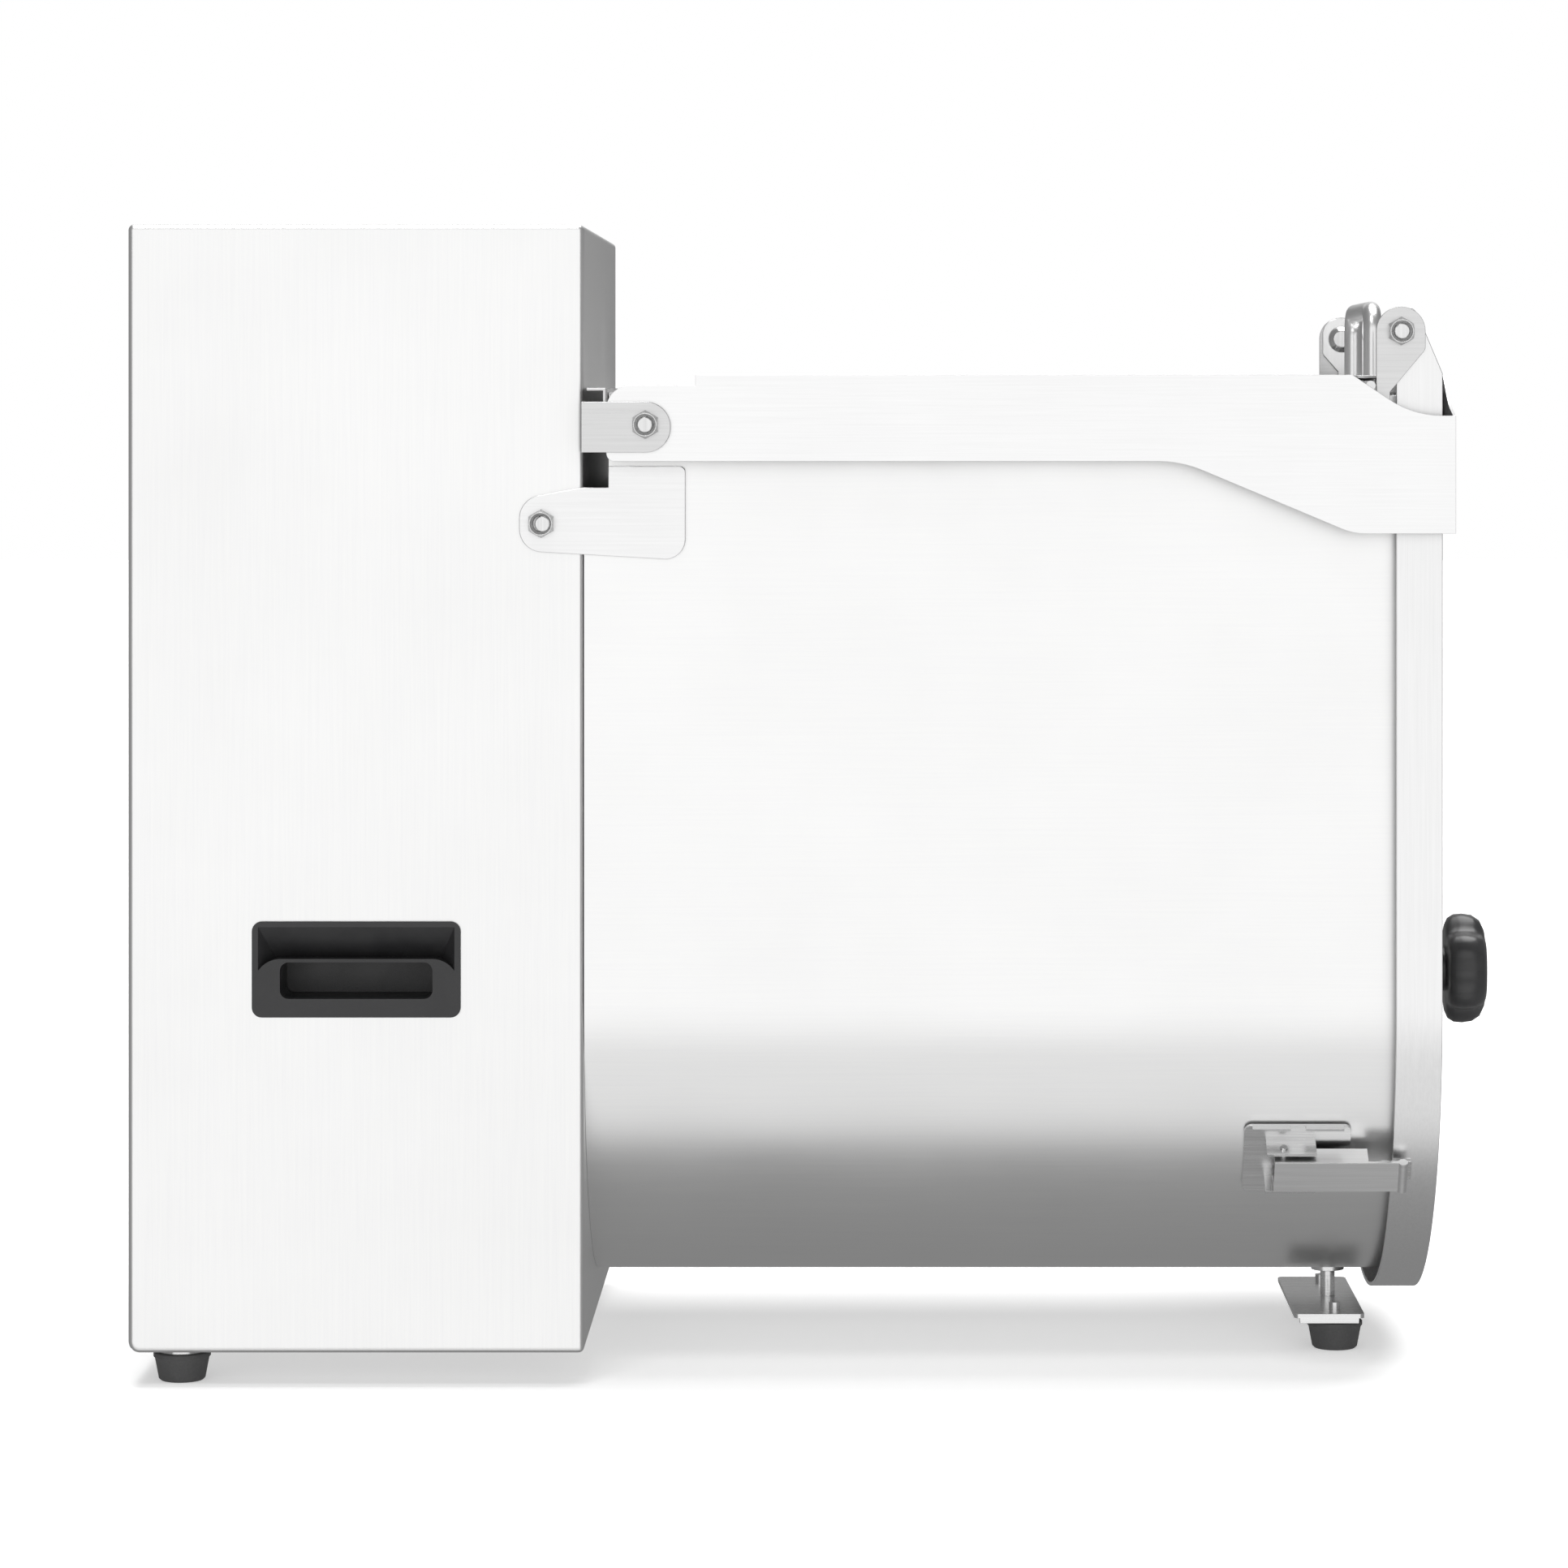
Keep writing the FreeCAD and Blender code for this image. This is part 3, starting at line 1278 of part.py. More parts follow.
def make_cable_gland():
    inside = housing_y - d.sheet
    z = gland_z
    outer = hexagon("Y", gland_x, housing_y, z, 22, 6)
    dome = taper("Y", gland_x, housing_y + 6, z, 10, 7.5, 10)
    thread = rod("Y", gland_x, inside - 8, z, 8, 8 + d.sheet)
    nut = hexagon("Y", gland_x, inside - 5, z, 22, 5)
    bore = rod("Y", gland_x, inside - 9, z, 4.2, 40)
    node("cable_gland", cut(fuse(outer, dome, thread, nut), bore))


# ---- the whole machine -----------------------------------------------------------------------

end_screws = make_end_screws()
foot_bolts = make_feet()
bolts = make_hinge_bolts()
flange_bolts = make_flange_bolts()
pull_screws = make_pull_screws()
make_housing(end_screws, [bolts, flange_bolts, foot_bolts])
make_end_panel(end_screws)
make_base_pan(foot_bolts, end_screws)
make_grips()
make_tank(bolts)
make_tank_foot_bracket(foot_bolts)
make_door_ears(bolts)
make_lid_hinge(bolts)
make_lid(pull_screws)
make_pull_handle(pull_screws)
make_door()
make_door_bush()
make_star_knob(make_spindle())
make_latch_bases()
make_latch_pins()
make_latch_levers()
make_latch_claws()
make_keepers()
make_mixing_shaft()
make_paddles()
make_output_shaft()
make_shaft_seal()
make_bearing_flange(flange_bolts)
make_gear_bearings()
make_gearbox()
make_worm_wheel()
make_worm()
make_motor()
make_controls()
make_contactors()
make_cable_gland()


# ---- check and write -------------------------------------------------------------------------


def write_nodes():
    doc.recompute()
    for obj in doc.Objects:
        if "Invalid" in obj.State or "Error" in obj.State:
            raise RuntimeError(f"{obj.Name} ({obj.Label}) failed: {obj.State}")
    for name, obj in NODES.items():
        if obj.Shape.isNull() or not obj.Shape.isValid() or not obj.Shape.Solids:
            raise RuntimeError(f"{name} has no valid solid")
    for name, obj in NODES.items():
        obj.Shape.exportStep(f"parts/{name}.step")
    print(len(NODES), "nodes written")


write_nodes()
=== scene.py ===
import math

import bmesh
import bpy
from mathutils import Euler, Matrix, Vector


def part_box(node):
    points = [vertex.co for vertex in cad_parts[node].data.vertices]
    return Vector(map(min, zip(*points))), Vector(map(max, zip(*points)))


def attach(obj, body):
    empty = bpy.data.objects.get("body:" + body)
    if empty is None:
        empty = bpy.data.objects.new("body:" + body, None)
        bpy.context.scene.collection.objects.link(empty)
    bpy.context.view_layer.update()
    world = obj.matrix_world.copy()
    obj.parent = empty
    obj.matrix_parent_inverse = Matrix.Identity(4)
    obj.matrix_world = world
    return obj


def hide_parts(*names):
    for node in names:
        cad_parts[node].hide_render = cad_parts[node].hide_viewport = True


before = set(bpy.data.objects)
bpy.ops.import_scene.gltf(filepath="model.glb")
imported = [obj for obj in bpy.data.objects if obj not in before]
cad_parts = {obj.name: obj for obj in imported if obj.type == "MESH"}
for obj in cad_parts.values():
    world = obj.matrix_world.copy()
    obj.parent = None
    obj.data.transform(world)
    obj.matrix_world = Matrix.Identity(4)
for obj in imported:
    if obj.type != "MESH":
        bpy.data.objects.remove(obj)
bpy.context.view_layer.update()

# ---- Studio ----------------------------------------------------------------------------------
# The mixer stands on a pale seamless floor. One long lens stands level with the lid and looks
# straight at the latch side. A white room, four soft boxes and a broad overhead light fill it.
# The floor lets the low box through and stays out of reflections, so the drum shades downward.

MM = 0.001
scene = bpy.context.scene
scene.view_settings.view_transform = "Standard"

lens_height = 513.6 * MM
lens_distance = 2706 * MM
front_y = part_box("housing_wrap")[0].y
lens_length = 119.3
camera_data = bpy.data.cameras.new("camera")
camera_data.sensor_width = 36
camera_data.lens = lens_length
camera_data.shift_x = -0.0616
camera_data.shift_y = -0.2438
camera_data.clip_end = 60
camera = bpy.data.objects.new("camera", camera_data)
camera.location = (29.3 * MM, front_y - lens_distance, lens_height)
camera.rotation_euler = Euler((math.radians(90), 0, 0))
scene.collection.objects.link(camera)
scene.camera = camera

floor_mesh = bpy.data.meshes.new("floor")
floor_build = bmesh.new()
bmesh.ops.create_grid(floor_build, x_segments=1, y_segments=1, size=14)
floor_build.to_mesh(floor_mesh)
floor_build.free()
floor = bpy.data.objects.new("floor", floor_mesh)
scene.collection.objects.link(floor)
floor_paint = bpy.data.materials.new("pale_floor")
floor_paint.use_nodes = True
floor_shader = floor_paint.node_tree.nodes["Principled BSDF"]
floor_shader.inputs["Base Color"].default_value = (0.9, 0.9, 0.9, 1)
floor_shader.inputs["Roughness"].default_value = 0.9
floor_glow = 0.4
floor_shader.inputs["Emission Color"].default_value = (1, 1, 1, 1)
floor_shader.inputs["Emission Strength"].default_value = floor_glow
floor_mesh.materials.append(floor_paint)
floor.visible_glossy = False
floor.visible_shadow = False

front_strength = 0.3
back_strength = 0.24
room = bpy.data.worlds.new("white_room")
scene.world = room
room.use_nodes = True
room_tree = room.node_tree
ambient = room_tree.nodes["Background"]
ambient.inputs["Color"].default_value = (1, 1, 1, 1)
backdrop = room_tree.nodes.new("ShaderNodeBackground")
backdrop.inputs["Color"].default_value = (1, 1, 1, 1)
backdrop.inputs["Strength"].default_value = 1.0
seen = room_tree.nodes.new("ShaderNodeLightPath")
either = room_tree.nodes.new("ShaderNodeMixShader")
direction = room_tree.nodes.new("ShaderNodeTexCoord")
parts = room_tree.nodes.new("ShaderNodeSeparateXYZ")
depth = room_tree.nodes.new("ShaderNodeMapRange")
room_tree.links.new(direction.outputs["Generated"], parts.inputs["Vector"])
room_tree.links.new(parts.outputs["Y"], depth.inputs["Value"])
depth.inputs["From Min"].default_value = -0.6
depth.inputs["From Max"].default_value = 0.9
depth.inputs["To Min"].default_value = front_strength
depth.inputs["To Max"].default_value = back_strength
room_tree.links.new(depth.outputs["Result"], ambient.inputs["Strength"])
room_tree.links.new(seen.outputs["Is Camera Ray"], either.inputs["Fac"])
room_tree.links.new(ambient.outputs["Background"], either.inputs[1])
room_tree.links.new(backdrop.outputs["Background"], either.inputs[2])
room_tree.links.new(either.outputs["Shader"], room_tree.nodes["World Output"].inputs["Surface"])


def add_soft_box(name, place, target, width, height, power):
    light = bpy.data.lights.new(name, "AREA")
    light.shape = "RECTANGLE"
    light.size = width
    light.size_y = height
    light.energy = power
    lamp = bpy.data.objects.new(name, light)
    lamp.location = place
    aim = Vector(target) - Vector(place)
    lamp.rotation_euler = aim.to_track_quat("-Z", "Y").to_euler()
    scene.collection.objects.link(lamp)


add_soft_box("front_wall", (0, -5.2, 0.6), (0, 0, 0.35), 8, 5.2, 118)
add_soft_box("high_key", (-0.5, -2.0, 3.2), (0.1, 0, 0.4), 1.0, 0.8, 22)
add_soft_box("low_fill", (0, -3.0, -2.6), (0, 0, 0.25), 6, 2.6, 30)
add_soft_box("back_wall", (0.6, 5.4, 3.2), (0, 0, 0.3), 6, 3, 30)
overhead = bpy.data.lights.new("overhead", "SUN")
overhead.energy = 2.6
overhead.angle = math.radians(50)
overhead_lamp = bpy.data.objects.new("overhead", overhead)
overhead_lamp.rotation_euler = Euler((math.radians(-12), math.radians(8), 0))
scene.collection.objects.link(overhead_lamp)

# ---- Drive housing ---------------------------------------------------------------------------
# A tall box folded from 1.5 mm stainless sheet, its seams welded and ground, with a satin
# finish. The bottom edges turn under, and a screwed panel closes the far end.

grain_scale = 900
satin_rough = 0.34


def new_material(name):
    material = bpy.data.materials.new(name)
    material.use_nodes = True
    tree = material.node_tree
    return material, tree, tree.nodes["Principled BSDF"]


def object_mapping(tree, scale):
    """Object coordinates, stretched, so that a pattern runs along the sheet."""
    place = tree.nodes.new("ShaderNodeTexCoord")
    mapping = tree.nodes.new("ShaderNodeMapping")
    mapping.inputs["Scale"].default_value = scale
    tree.links.new(place.outputs["Object"], mapping.inputs["Vector"])
    return mapping.outputs["Vector"]


def add_noise(tree, vector, scale, detail=4.0, rough=0.6):
    noise = tree.nodes.new("ShaderNodeTexNoise")
    noise.inputs["Scale"].default_value = scale
    noise.inputs["Detail"].default_value = detail
    noise.inputs["Roughness"].default_value = rough
    tree.links.new(vector, noise.inputs["Vector"])
    return noise.outputs["Fac"]


def spread(tree, value, low, high):
    """Maps a pattern that runs from about 0.3 to 0.7 to low..high."""
    remap = tree.nodes.new("ShaderNodeMapRange")
    remap.inputs["From Min"].default_value = 0.3
    remap.inputs["From Max"].default_value = 0.7
    remap.inputs["To Min"].default_value = low
    remap.inputs["To Max"].default_value = high
    tree.links.new(value, remap.inputs["Value"])
    return remap.outputs["Result"]


def two_tone(tree, value, dark, light):
    ramp = tree.nodes.new("ShaderNodeValToRGB")
    ramp.color_ramp.elements[0].position = 0.3
    ramp.color_ramp.elements[1].position = 0.7
    ramp.color_ramp.elements[0].color = (*dark, 1)
    ramp.color_ramp.elements[1].color = (*light, 1)
    tree.links.new(value, ramp.inputs["Fac"])
    return ramp.outputs["Color"]


def bump(tree, shader, value, strength, distance):
    relief = tree.nodes.new("ShaderNodeBump")
    relief.inputs["Strength"].default_value = strength
    relief.inputs["Distance"].default_value = distance
    tree.links.new(value, relief.inputs["Height"])
    tree.links.new(relief.outputs["Normal"], shader.inputs["Normal"])


def brushed_metal(name, along, dark, light, rough, relief=0.02):
    """Satin metal: fine scratches along one axis, and faint cloudy smears from wiping."""
    material, tree, shader = new_material(name)
    shader.inputs["Metallic"].default_value = 1.0
    stretch = [grain_scale] * 3
    stretch["XYZ".index(along)] = grain_scale / 60
    grain = add_noise(tree, object_mapping(tree, stretch), 1.0, 3.0)
    cloud = add_noise(tree, object_mapping(tree, (1, 1, 1)), 9.0, 5.0)
    mixed = tree.nodes.new("ShaderNodeMath")
    mixed.operation = "ADD"
    tree.links.new(spread(tree, grain, -0.015, 0.015), mixed.inputs[0])
    tree.links.new(spread(tree, cloud, rough - 0.02, rough + 0.03), mixed.inputs[1])
    tree.links.new(mixed.outputs["Value"], shader.inputs["Roughness"])
    tree.links.new(two_tone(tree, grain, dark, light), shader.inputs["Base Color"])
    bump(tree, shader, grain, relief, 0.0001)
    return material


satin_upright = brushed_metal("satin_steel_upright", "Z", (0.82, 0.82, 0.82), (0.85, 0.85, 0.845),
                              satin_rough)
satin_along = brushed_metal("satin_steel_along", "X", (0.82, 0.82, 0.82), (0.85, 0.85, 0.845),
                            satin_rough)
satin_across = brushed_metal("satin_steel_across", "Y", (0.82, 0.82, 0.82), (0.85, 0.85, 0.845),
                             satin_rough)


def paint(piece, material):
    piece.data.materials.clear()
    piece.data.materials.append(material)


def link_piece(name, build, material, body, replaced=(), smooth=16):
    """Turns a finished bmesh into a piece that rides on its body."""
    mesh = bpy.data.meshes.new(name)
    build.to_mesh(mesh)
    build.free()
    mesh.shade_smooth()
    mesh.set_sharp_from_angle(angle=math.radians(smooth))
    mesh.materials.append(material)
    piece = bpy.data.objects.new(name, mesh)
    scene.collection.objects.link(piece)
    weighted = piece.modifiers.new("even_shading", "WEIGHTED_NORMAL")
    weighted.keep_sharp = True
    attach(piece, body)
    if replaced:
        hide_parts(*replaced)
    return piece


def merged_copy(node):
    """The CAD node's own shape with its doubles merged and its flat faces made whole."""
    build = bmesh.new()
    build.from_mesh(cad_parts[node].data)
    bmesh.ops.remove_doubles(build, verts=build.verts, dist=2e-6)
    bmesh.ops.dissolve_limit(build, angle_limit=math.radians(0.6), verts=build.verts,
                             edges=build.edges, use_dissolve_boundaries=False)
    return build


def ease_edges(build, width, angle=30, segments=2):
    """Breaks the sharp edges, as the maker's file does."""
    sharp = [edge for edge in build.edges
             if edge.is_manifold and edge.calc_face_angle() > math.radians(angle)]
    bmesh.ops.bevel(build, geom=sharp, offset=width, offset_type="OFFSET", affect="EDGES",
                    segments=segments, profile=0.5, material=-1, clamp_overlap=True)


def eased_node(node, width, material, body, angle=30, smooth=16):
    build = merged_copy(node)
    ease_edges(build, width, angle)
    return link_piece(node + "_finished", build, material, body, [node], smooth)


for name in ("housing_wrap", "end_panel"):
    paint(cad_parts[name], satin_upright)
paint(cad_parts["base_pan"], satin_along)

# ---- Side grips ------------------------------------------------------------------------------
# Carry grips moulded in black ABS with a fine spark-eroded grain, snapped into the housing's
# two side walls. Fingers go under the sloped roof and down into the pocket.

grip_low, grip_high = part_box("grip_front")
grip_centre_x = (grip_low.x + grip_high.x) / 2
grip_flange_wide = 108.7 * MM
grip_flange_tall = 50 * MM
grip_flange_z = 218 * MM
grip_flange_sheet = 1.15 * MM
grip_corner = 5.2 * MM
grip_cup_wide = 105.2 * MM
grip_cup_tall = 46.5 * MM
grip_cup_depth = 36 * MM
ramp_depth = 12 * MM
ramp_top_wide = 103.6 * MM
ramp_low_wide = 86.5 * MM
ramp_top_z = 241.5 * MM
ramp_low_z = 223 * MM
pocket_wide = 79.5 * MM
pocket_tall = 19 * MM
pocket_z = 212.2 * MM
pocket_depth = 34 * MM


def slab(x_mid, z_mid, wide, tall, y_front, depth, corner, segments=6):
    """A block in the housing's side wall with its four long edges rounded."""
    build = bmesh.new()
    bmesh.ops.create_cube(build, size=1)
    bmesh.ops.scale(build, vec=(wide, depth, tall), verts=build.verts)
    bmesh.ops.translate(build, vec=(x_mid, y_front + depth / 2, z_mid), verts=build.verts)
    along = [edge for edge in build.edges
             if abs(edge.verts[0].co.y - edge.verts[1].co.y) > depth / 2]
    bmesh.ops.bevel(build, geom=along, offset=corner, offset_type="OFFSET", affect="EDGES",
                    segments=segments, profile=0.5, material=-1)
    return build


def loose_object(name, build):
    mesh = bpy.data.meshes.new(name)
    bmesh.ops.recalc_face_normals(build, faces=build.faces)
    build.to_mesh(mesh)
    build.free()
    piece = bpy.data.objects.new(name, mesh)
    scene.collection.objects.link(piece)
    return piece


def combine(base, cutters, operation="DIFFERENCE"):
    """Cuts or joins whole shapes and returns the result as a bmesh; the shapes are used up."""
    for cutter in cutters:
        step = base.modifiers.new("step", "BOOLEAN")
        step.operation = operation
        step.solver = "EXACT"
        step.object = cutter
    bpy.context.view_layer.update()
    result = bmesh.new()
    graph = bpy.context.evaluated_depsgraph_get()
    result.from_mesh(base.evaluated_get(graph).to_mesh())
    for piece in [base] + list(cutters):
        bpy.data.objects.remove(piece)
    return result


abs_dark = (0.014, 0.014, 0.015)
abs_light = (0.022, 0.022, 0.023)
abs_plastic, abs_tree, abs_shader = new_material("black_abs")
abs_grain = add_noise(abs_tree, object_mapping(abs_tree, (1, 1, 1)), 1800, 2.0)
abs_cloud = add_noise(abs_tree, object_mapping(abs_tree, (1, 1, 1)), 45, 3.0)
abs_tree.links.new(two_tone(abs_tree, abs_cloud, abs_dark, abs_light),
                   abs_shader.inputs["Base Color"])
abs_tree.links.new(spread(abs_tree, abs_cloud, 0.34, 0.46), abs_shader.inputs["Roughness"])
bump(abs_tree, abs_shader, abs_grain, 0.25, 0.0002)

front_face = grip_low.y
flange_part = loose_object("grip_flange", slab(grip_centre_x, grip_flange_z, grip_flange_wide,
                                               grip_flange_tall, front_face, grip_flange_sheet,
                                               grip_corner))
cup_part = loose_object("grip_cup", slab(grip_centre_x, grip_flange_z, grip_cup_wide,
                                         grip_cup_tall, front_face + 0.5 * MM, grip_cup_depth,
                                         4 * MM))
ramp_build = slab(grip_centre_x, 0, 1, 1, front_face - 1 * MM, ramp_depth + 1 * MM, 0.0001)
for vertex in ramp_build.verts:
    at_back = vertex.co.y > front_face + ramp_depth / 2
    is_top = vertex.co.z > 0
    side = 1 if vertex.co.x > grip_centre_x else -1
    wide = ramp_low_wide if at_back else ramp_top_wide
    vertex.co.x = grip_centre_x + side * wide / 2
    if is_top:
        vertex.co.z = ramp_low_z if at_back else ramp_top_z
    else:
        vertex.co.z = ramp_low_z - 14 * MM
bmesh.ops.remove_doubles(ramp_build, verts=ramp_build.verts, dist=0.0002)
ramp_part = loose_object("grip_ramp", ramp_build)
shoulder_part = loose_object("grip_shoulder",
                             slab(grip_centre_x, 203 * MM, 107 * MM, 41 * MM,
                                  front_face - 3 * MM, 30 * MM, 14 * MM, 10))
pocket_part = loose_object("grip_pocket", slab(grip_centre_x, pocket_z, pocket_wide, pocket_tall,
                                               front_face - 1 * MM, pocket_depth, 4.5 * MM))
body_part = loose_object("grip_body", combine(flange_part, [cup_part], "UNION"))
cut_part = loose_object("grip_opening", combine(ramp_part, [shoulder_part]))
grip_build = combine(body_part, [cut_part, pocket_part])
bmesh.ops.remove_doubles(grip_build, verts=grip_build.verts, dist=1e-6)
ease_edges(grip_build, 0.55 * MM, 28, 3)
rear_build = grip_build.copy()
bmesh.ops.scale(rear_build, vec=(1, -1, 1), verts=rear_build.verts)
bmesh.ops.reverse_faces(rear_build, faces=rear_build.faces)
link_piece("grip_front_moulded", grip_build, abs_plastic, "machine", ["grip_front"])
link_piece("grip_rear_moulded", rear_build, abs_plastic, "machine", ["grip_rear"])

# ---- Rubber feet and their screws ------------------------------------------------------------
# Four tapered feet moulded in black rubber round a steel washer. Countersunk steel screws hold
# two under the housing and two under the plate at the tank's free end.

foot_places = [(-337.75, -138), (-337.75, 138), (276, -45), (276, 45)]
foot_profile = [(3.2, 4), (3.2, 0.6), (4.4, 0), (11, 0), (12.2, 1.1), (14.2, 11.6), (14.6, 12.2),
                (15, 12.6), (15, 14.5), (14.5, 15), (3.2, 15), (3.2, 10)]


def turned(profile, centre, axis="Z", steps=64, closed=True):
    """Spins a profile of (radius, height) in millimetres about an axis through centre."""
    build = bmesh.new()
    rim = [build.verts.new((radius * MM, 0, height * MM)) for radius, height in profile]
    edges = [build.edges.new(pair) for pair in zip(rim, rim[1:])]
    if closed:
        edges.append(build.edges.new((rim[-1], rim[0])))
    bmesh.ops.spin(build, geom=rim + edges, cent=(0, 0, 0), axis=(0, 0, 1),
                   angle=math.tau, steps=steps, use_merge=True)
    bmesh.ops.remove_doubles(build, verts=build.verts, dist=1e-6)
    bmesh.ops.recalc_face_normals(build, faces=build.faces)
    turn = {"X": Matrix.Rotation(math.radians(90), 4, "Y"),
            "Y": Matrix.Rotation(math.radians(-90), 4, "X"), "Z": Matrix.Identity(4)}[axis]
    bmesh.ops.transform(build, matrix=Matrix.Translation(centre) @ turn, verts=build.verts)
    return build


def merge_builds(builds):
    """Puts several finished shapes in one bmesh."""
    whole = bmesh.new()
    carrier = bpy.data.meshes.new("carrier")
    for build in builds:
        build.to_mesh(carrier)
        build.free()
        whole.from_mesh(carrier)
    bpy.data.meshes.remove(carrier)
    return whole


rubber, rubber_tree, rubber_shader = new_material("black_rubber")
rubber_grain = add_noise(rubber_tree, object_mapping(rubber_tree, (1, 1, 1)), 900, 4.0)
rubber_tree.links.new(two_tone(rubber_tree, rubber_grain, (0.045, 0.045, 0.046),
                               (0.062, 0.062, 0.062)), rubber_shader.inputs["Base Color"])
rubber_tree.links.new(spread(rubber_tree, rubber_grain, 0.55, 0.68),
                      rubber_shader.inputs["Roughness"])
bump(rubber_tree, rubber_shader, rubber_grain, 0.3, 0.0003)

feet = [turned(foot_profile, Vector((x * MM, y * MM, 0))) for x, y in foot_places]
link_piece("rubber_feet_moulded", merge_builds(feet), rubber, "machine",
           ["rubber_feet"], 50)

bright_steel = brushed_metal("bright_steel", "Z", (0.62, 0.62, 0.62), (0.72, 0.72, 0.72), 0.2)
paint(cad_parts["foot_bolts"], bright_steel)
paint(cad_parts["end_panel_screws"], bright_steel)

# ---- Tank ------------------------------------------------------------------------------------
# A U-shaped trough rolled from 1.5 mm stainless, its mouth upwards, with a welded end wall and
# a flange round its open end. The sheet keeps its fine lengthwise mill grain.

satin_drum = brushed_metal("satin_steel_drum", "X", (0.83, 0.83, 0.83), (0.85, 0.85, 0.845),
                           0.33, 0.012)
eased_node("tank_shell", 0.25 * MM, satin_drum, "machine", 40)
paint(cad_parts["tank_end_wall"], satin_across)

# ---- Side plates -----------------------------------------------------------------------------
# Laser-cut 3 mm stainless plates, one on each side, that tie the tank to the housing.

plate_steel = brushed_metal("plate_steel", "X", (0.79, 0.79, 0.79), (0.84, 0.84, 0.84), 0.36)
eased_node("side_plates", 0.35 * MM, plate_steel, "machine", 30)

# ---- Lid hinge -------------------------------------------------------------------------------
# A folded channel across the back of the tank, and on each end a bracket with a half-round nose
# that carries the lid's bolt.

bracket_steel = brushed_metal("bracket_steel", "X", (0.58, 0.58, 0.58), (0.64, 0.64, 0.64), 0.3)
eased_node("lid_hinge_brackets", 0.3 * MM, bracket_steel, "machine", 30)
eased_node("lid_hinge_beam", 0.3 * MM, bracket_steel, "machine", 30)

# ---- Hinge bolts and nuts --------------------------------------------------------------------
# M8 stainless bolts with domed heads inside and chamfered hexagon nuts outside, one pair for
# each of the housing plate, the lid hinge and the door hinge.

nut_flats = 13 * MM
nut_tall = 6.5 * MM
bolt_radius = 4 * MM
bolt_places = [(-147.25, 450.2, 166.0), (-92.05, 501.8, 188.6), (299.05, 550.2, 175.85)]


def chamfered_nut(flats, tall):
    """A hexagon nut with both faces chamfered, standing on z = 0."""
    build = bmesh.new()
    bmesh.ops.create_cone(build, cap_ends=True, segments=6, radius1=flats / math.sqrt(3),
                          radius2=flats / math.sqrt(3), depth=tall)
    bmesh.ops.translate(build, vec=(0, 0, tall / 2), verts=build.verts)
    blank = loose_object("nut_blank", build)
    cone = bmesh.new()
    bmesh.ops.create_cone(cone, cap_ends=True, segments=64, radius1=flats * 0.62,
                          radius2=flats * 0.46, depth=tall * 1.02)
    bmesh.ops.translate(cone, vec=(0, 0, tall * 0.51), verts=cone.verts)
    bounds = loose_object("nut_chamfer", cone)
    solid = loose_object("nut_solid", combine(blank, [bounds], "INTERSECT"))
    sink = bmesh.new()
    bmesh.ops.create_cone(sink, cap_ends=True, segments=64, radius1=bolt_radius * 1.01,
                          radius2=bolt_radius * 1.42, depth=1.8 * MM)
    bmesh.ops.translate(sink, vec=(0, 0, tall - 0.8 * MM), verts=sink.verts)
    bore = bmesh.new()
    bmesh.ops.create_cone(bore, cap_ends=True, segments=64, radius1=bolt_radius * 1.01,
                          radius2=bolt_radius * 1.01, depth=tall * 1.5)
    bmesh.ops.translate(bore, vec=(0, 0, tall / 2), verts=bore.verts)
    build = combine(solid, [loose_object("nut_sink", sink), loose_object("nut_bore", bore)])
    ease_edges(build, 0.12 * MM, 40, 2)
    return build


nut_steel = brushed_metal("nut_steel", "Y", (0.52, 0.52, 0.52), (0.66, 0.66, 0.66), 0.22)
nuts = []
for x, z, face in bolt_places:
    for side in (-1, 1):
        aim = Matrix.Rotation(math.radians(-90 * side), 4, "X")
        base = Vector((x * MM, side * face * MM, z * MM))
        build = chamfered_nut(nut_flats, nut_tall)
        bmesh.ops.transform(build, matrix=Matrix.Translation(base) @ aim, verts=build.verts)
        nuts.append(build)
link_piece("hinge_nuts_chamfered", merge_builds(nuts), nut_steel, "machine",
           ["hinge_nuts"], 25)
eased_node("hinge_bolts", 0.5 * MM, bright_steel, "machine", 40)

# ---- Lid -------------------------------------------------------------------------------------
# One folded and welded cover of 1.5 mm stainless: a flat top, deep side skirts and a nose that
# hangs over the door, with a scooped notch on each side for the door's ears.

lid_steel = brushed_metal("lid_steel", "X", (0.82, 0.82, 0.82), (0.86, 0.86, 0.86), 0.34)
eased_node("lid", 0.3 * MM, lid_steel, "lid", 30)

# ---- Pull handle -----------------------------------------------------------------------------
# A U of 10 mm stainless bar, bent, ground smooth and screwed on from under the lid.

bar_steel = brushed_metal("bar_steel", "Z", (0.74, 0.74, 0.74), (0.80, 0.80, 0.80), 0.3)
link_piece("pull_handle_ground", merged_copy("pull_handle"), bar_steel, "lid",
           ["pull_handle"], 50)
paint(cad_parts["pull_screws"], bright_steel)

# ---- Door ------------------------------------------------------------------------------------
# A shallow pan of 2 mm stainless in the tank's own outline, with two lugs that stand up to the
# hinge bolts. A silicone strip seals it, and a nylon bush carries the mixing shaft's end.

door_steel = brushed_metal("door_steel", "Z", (0.78, 0.78, 0.78), (0.83, 0.83, 0.83), 0.34)
eased_node("door", 0.4 * MM, door_steel, "door", 30)
eased_node("door_ears", 0.35 * MM, bracket_steel, "machine", 30)
paint(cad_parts["ear_tie_rod"], bright_steel)

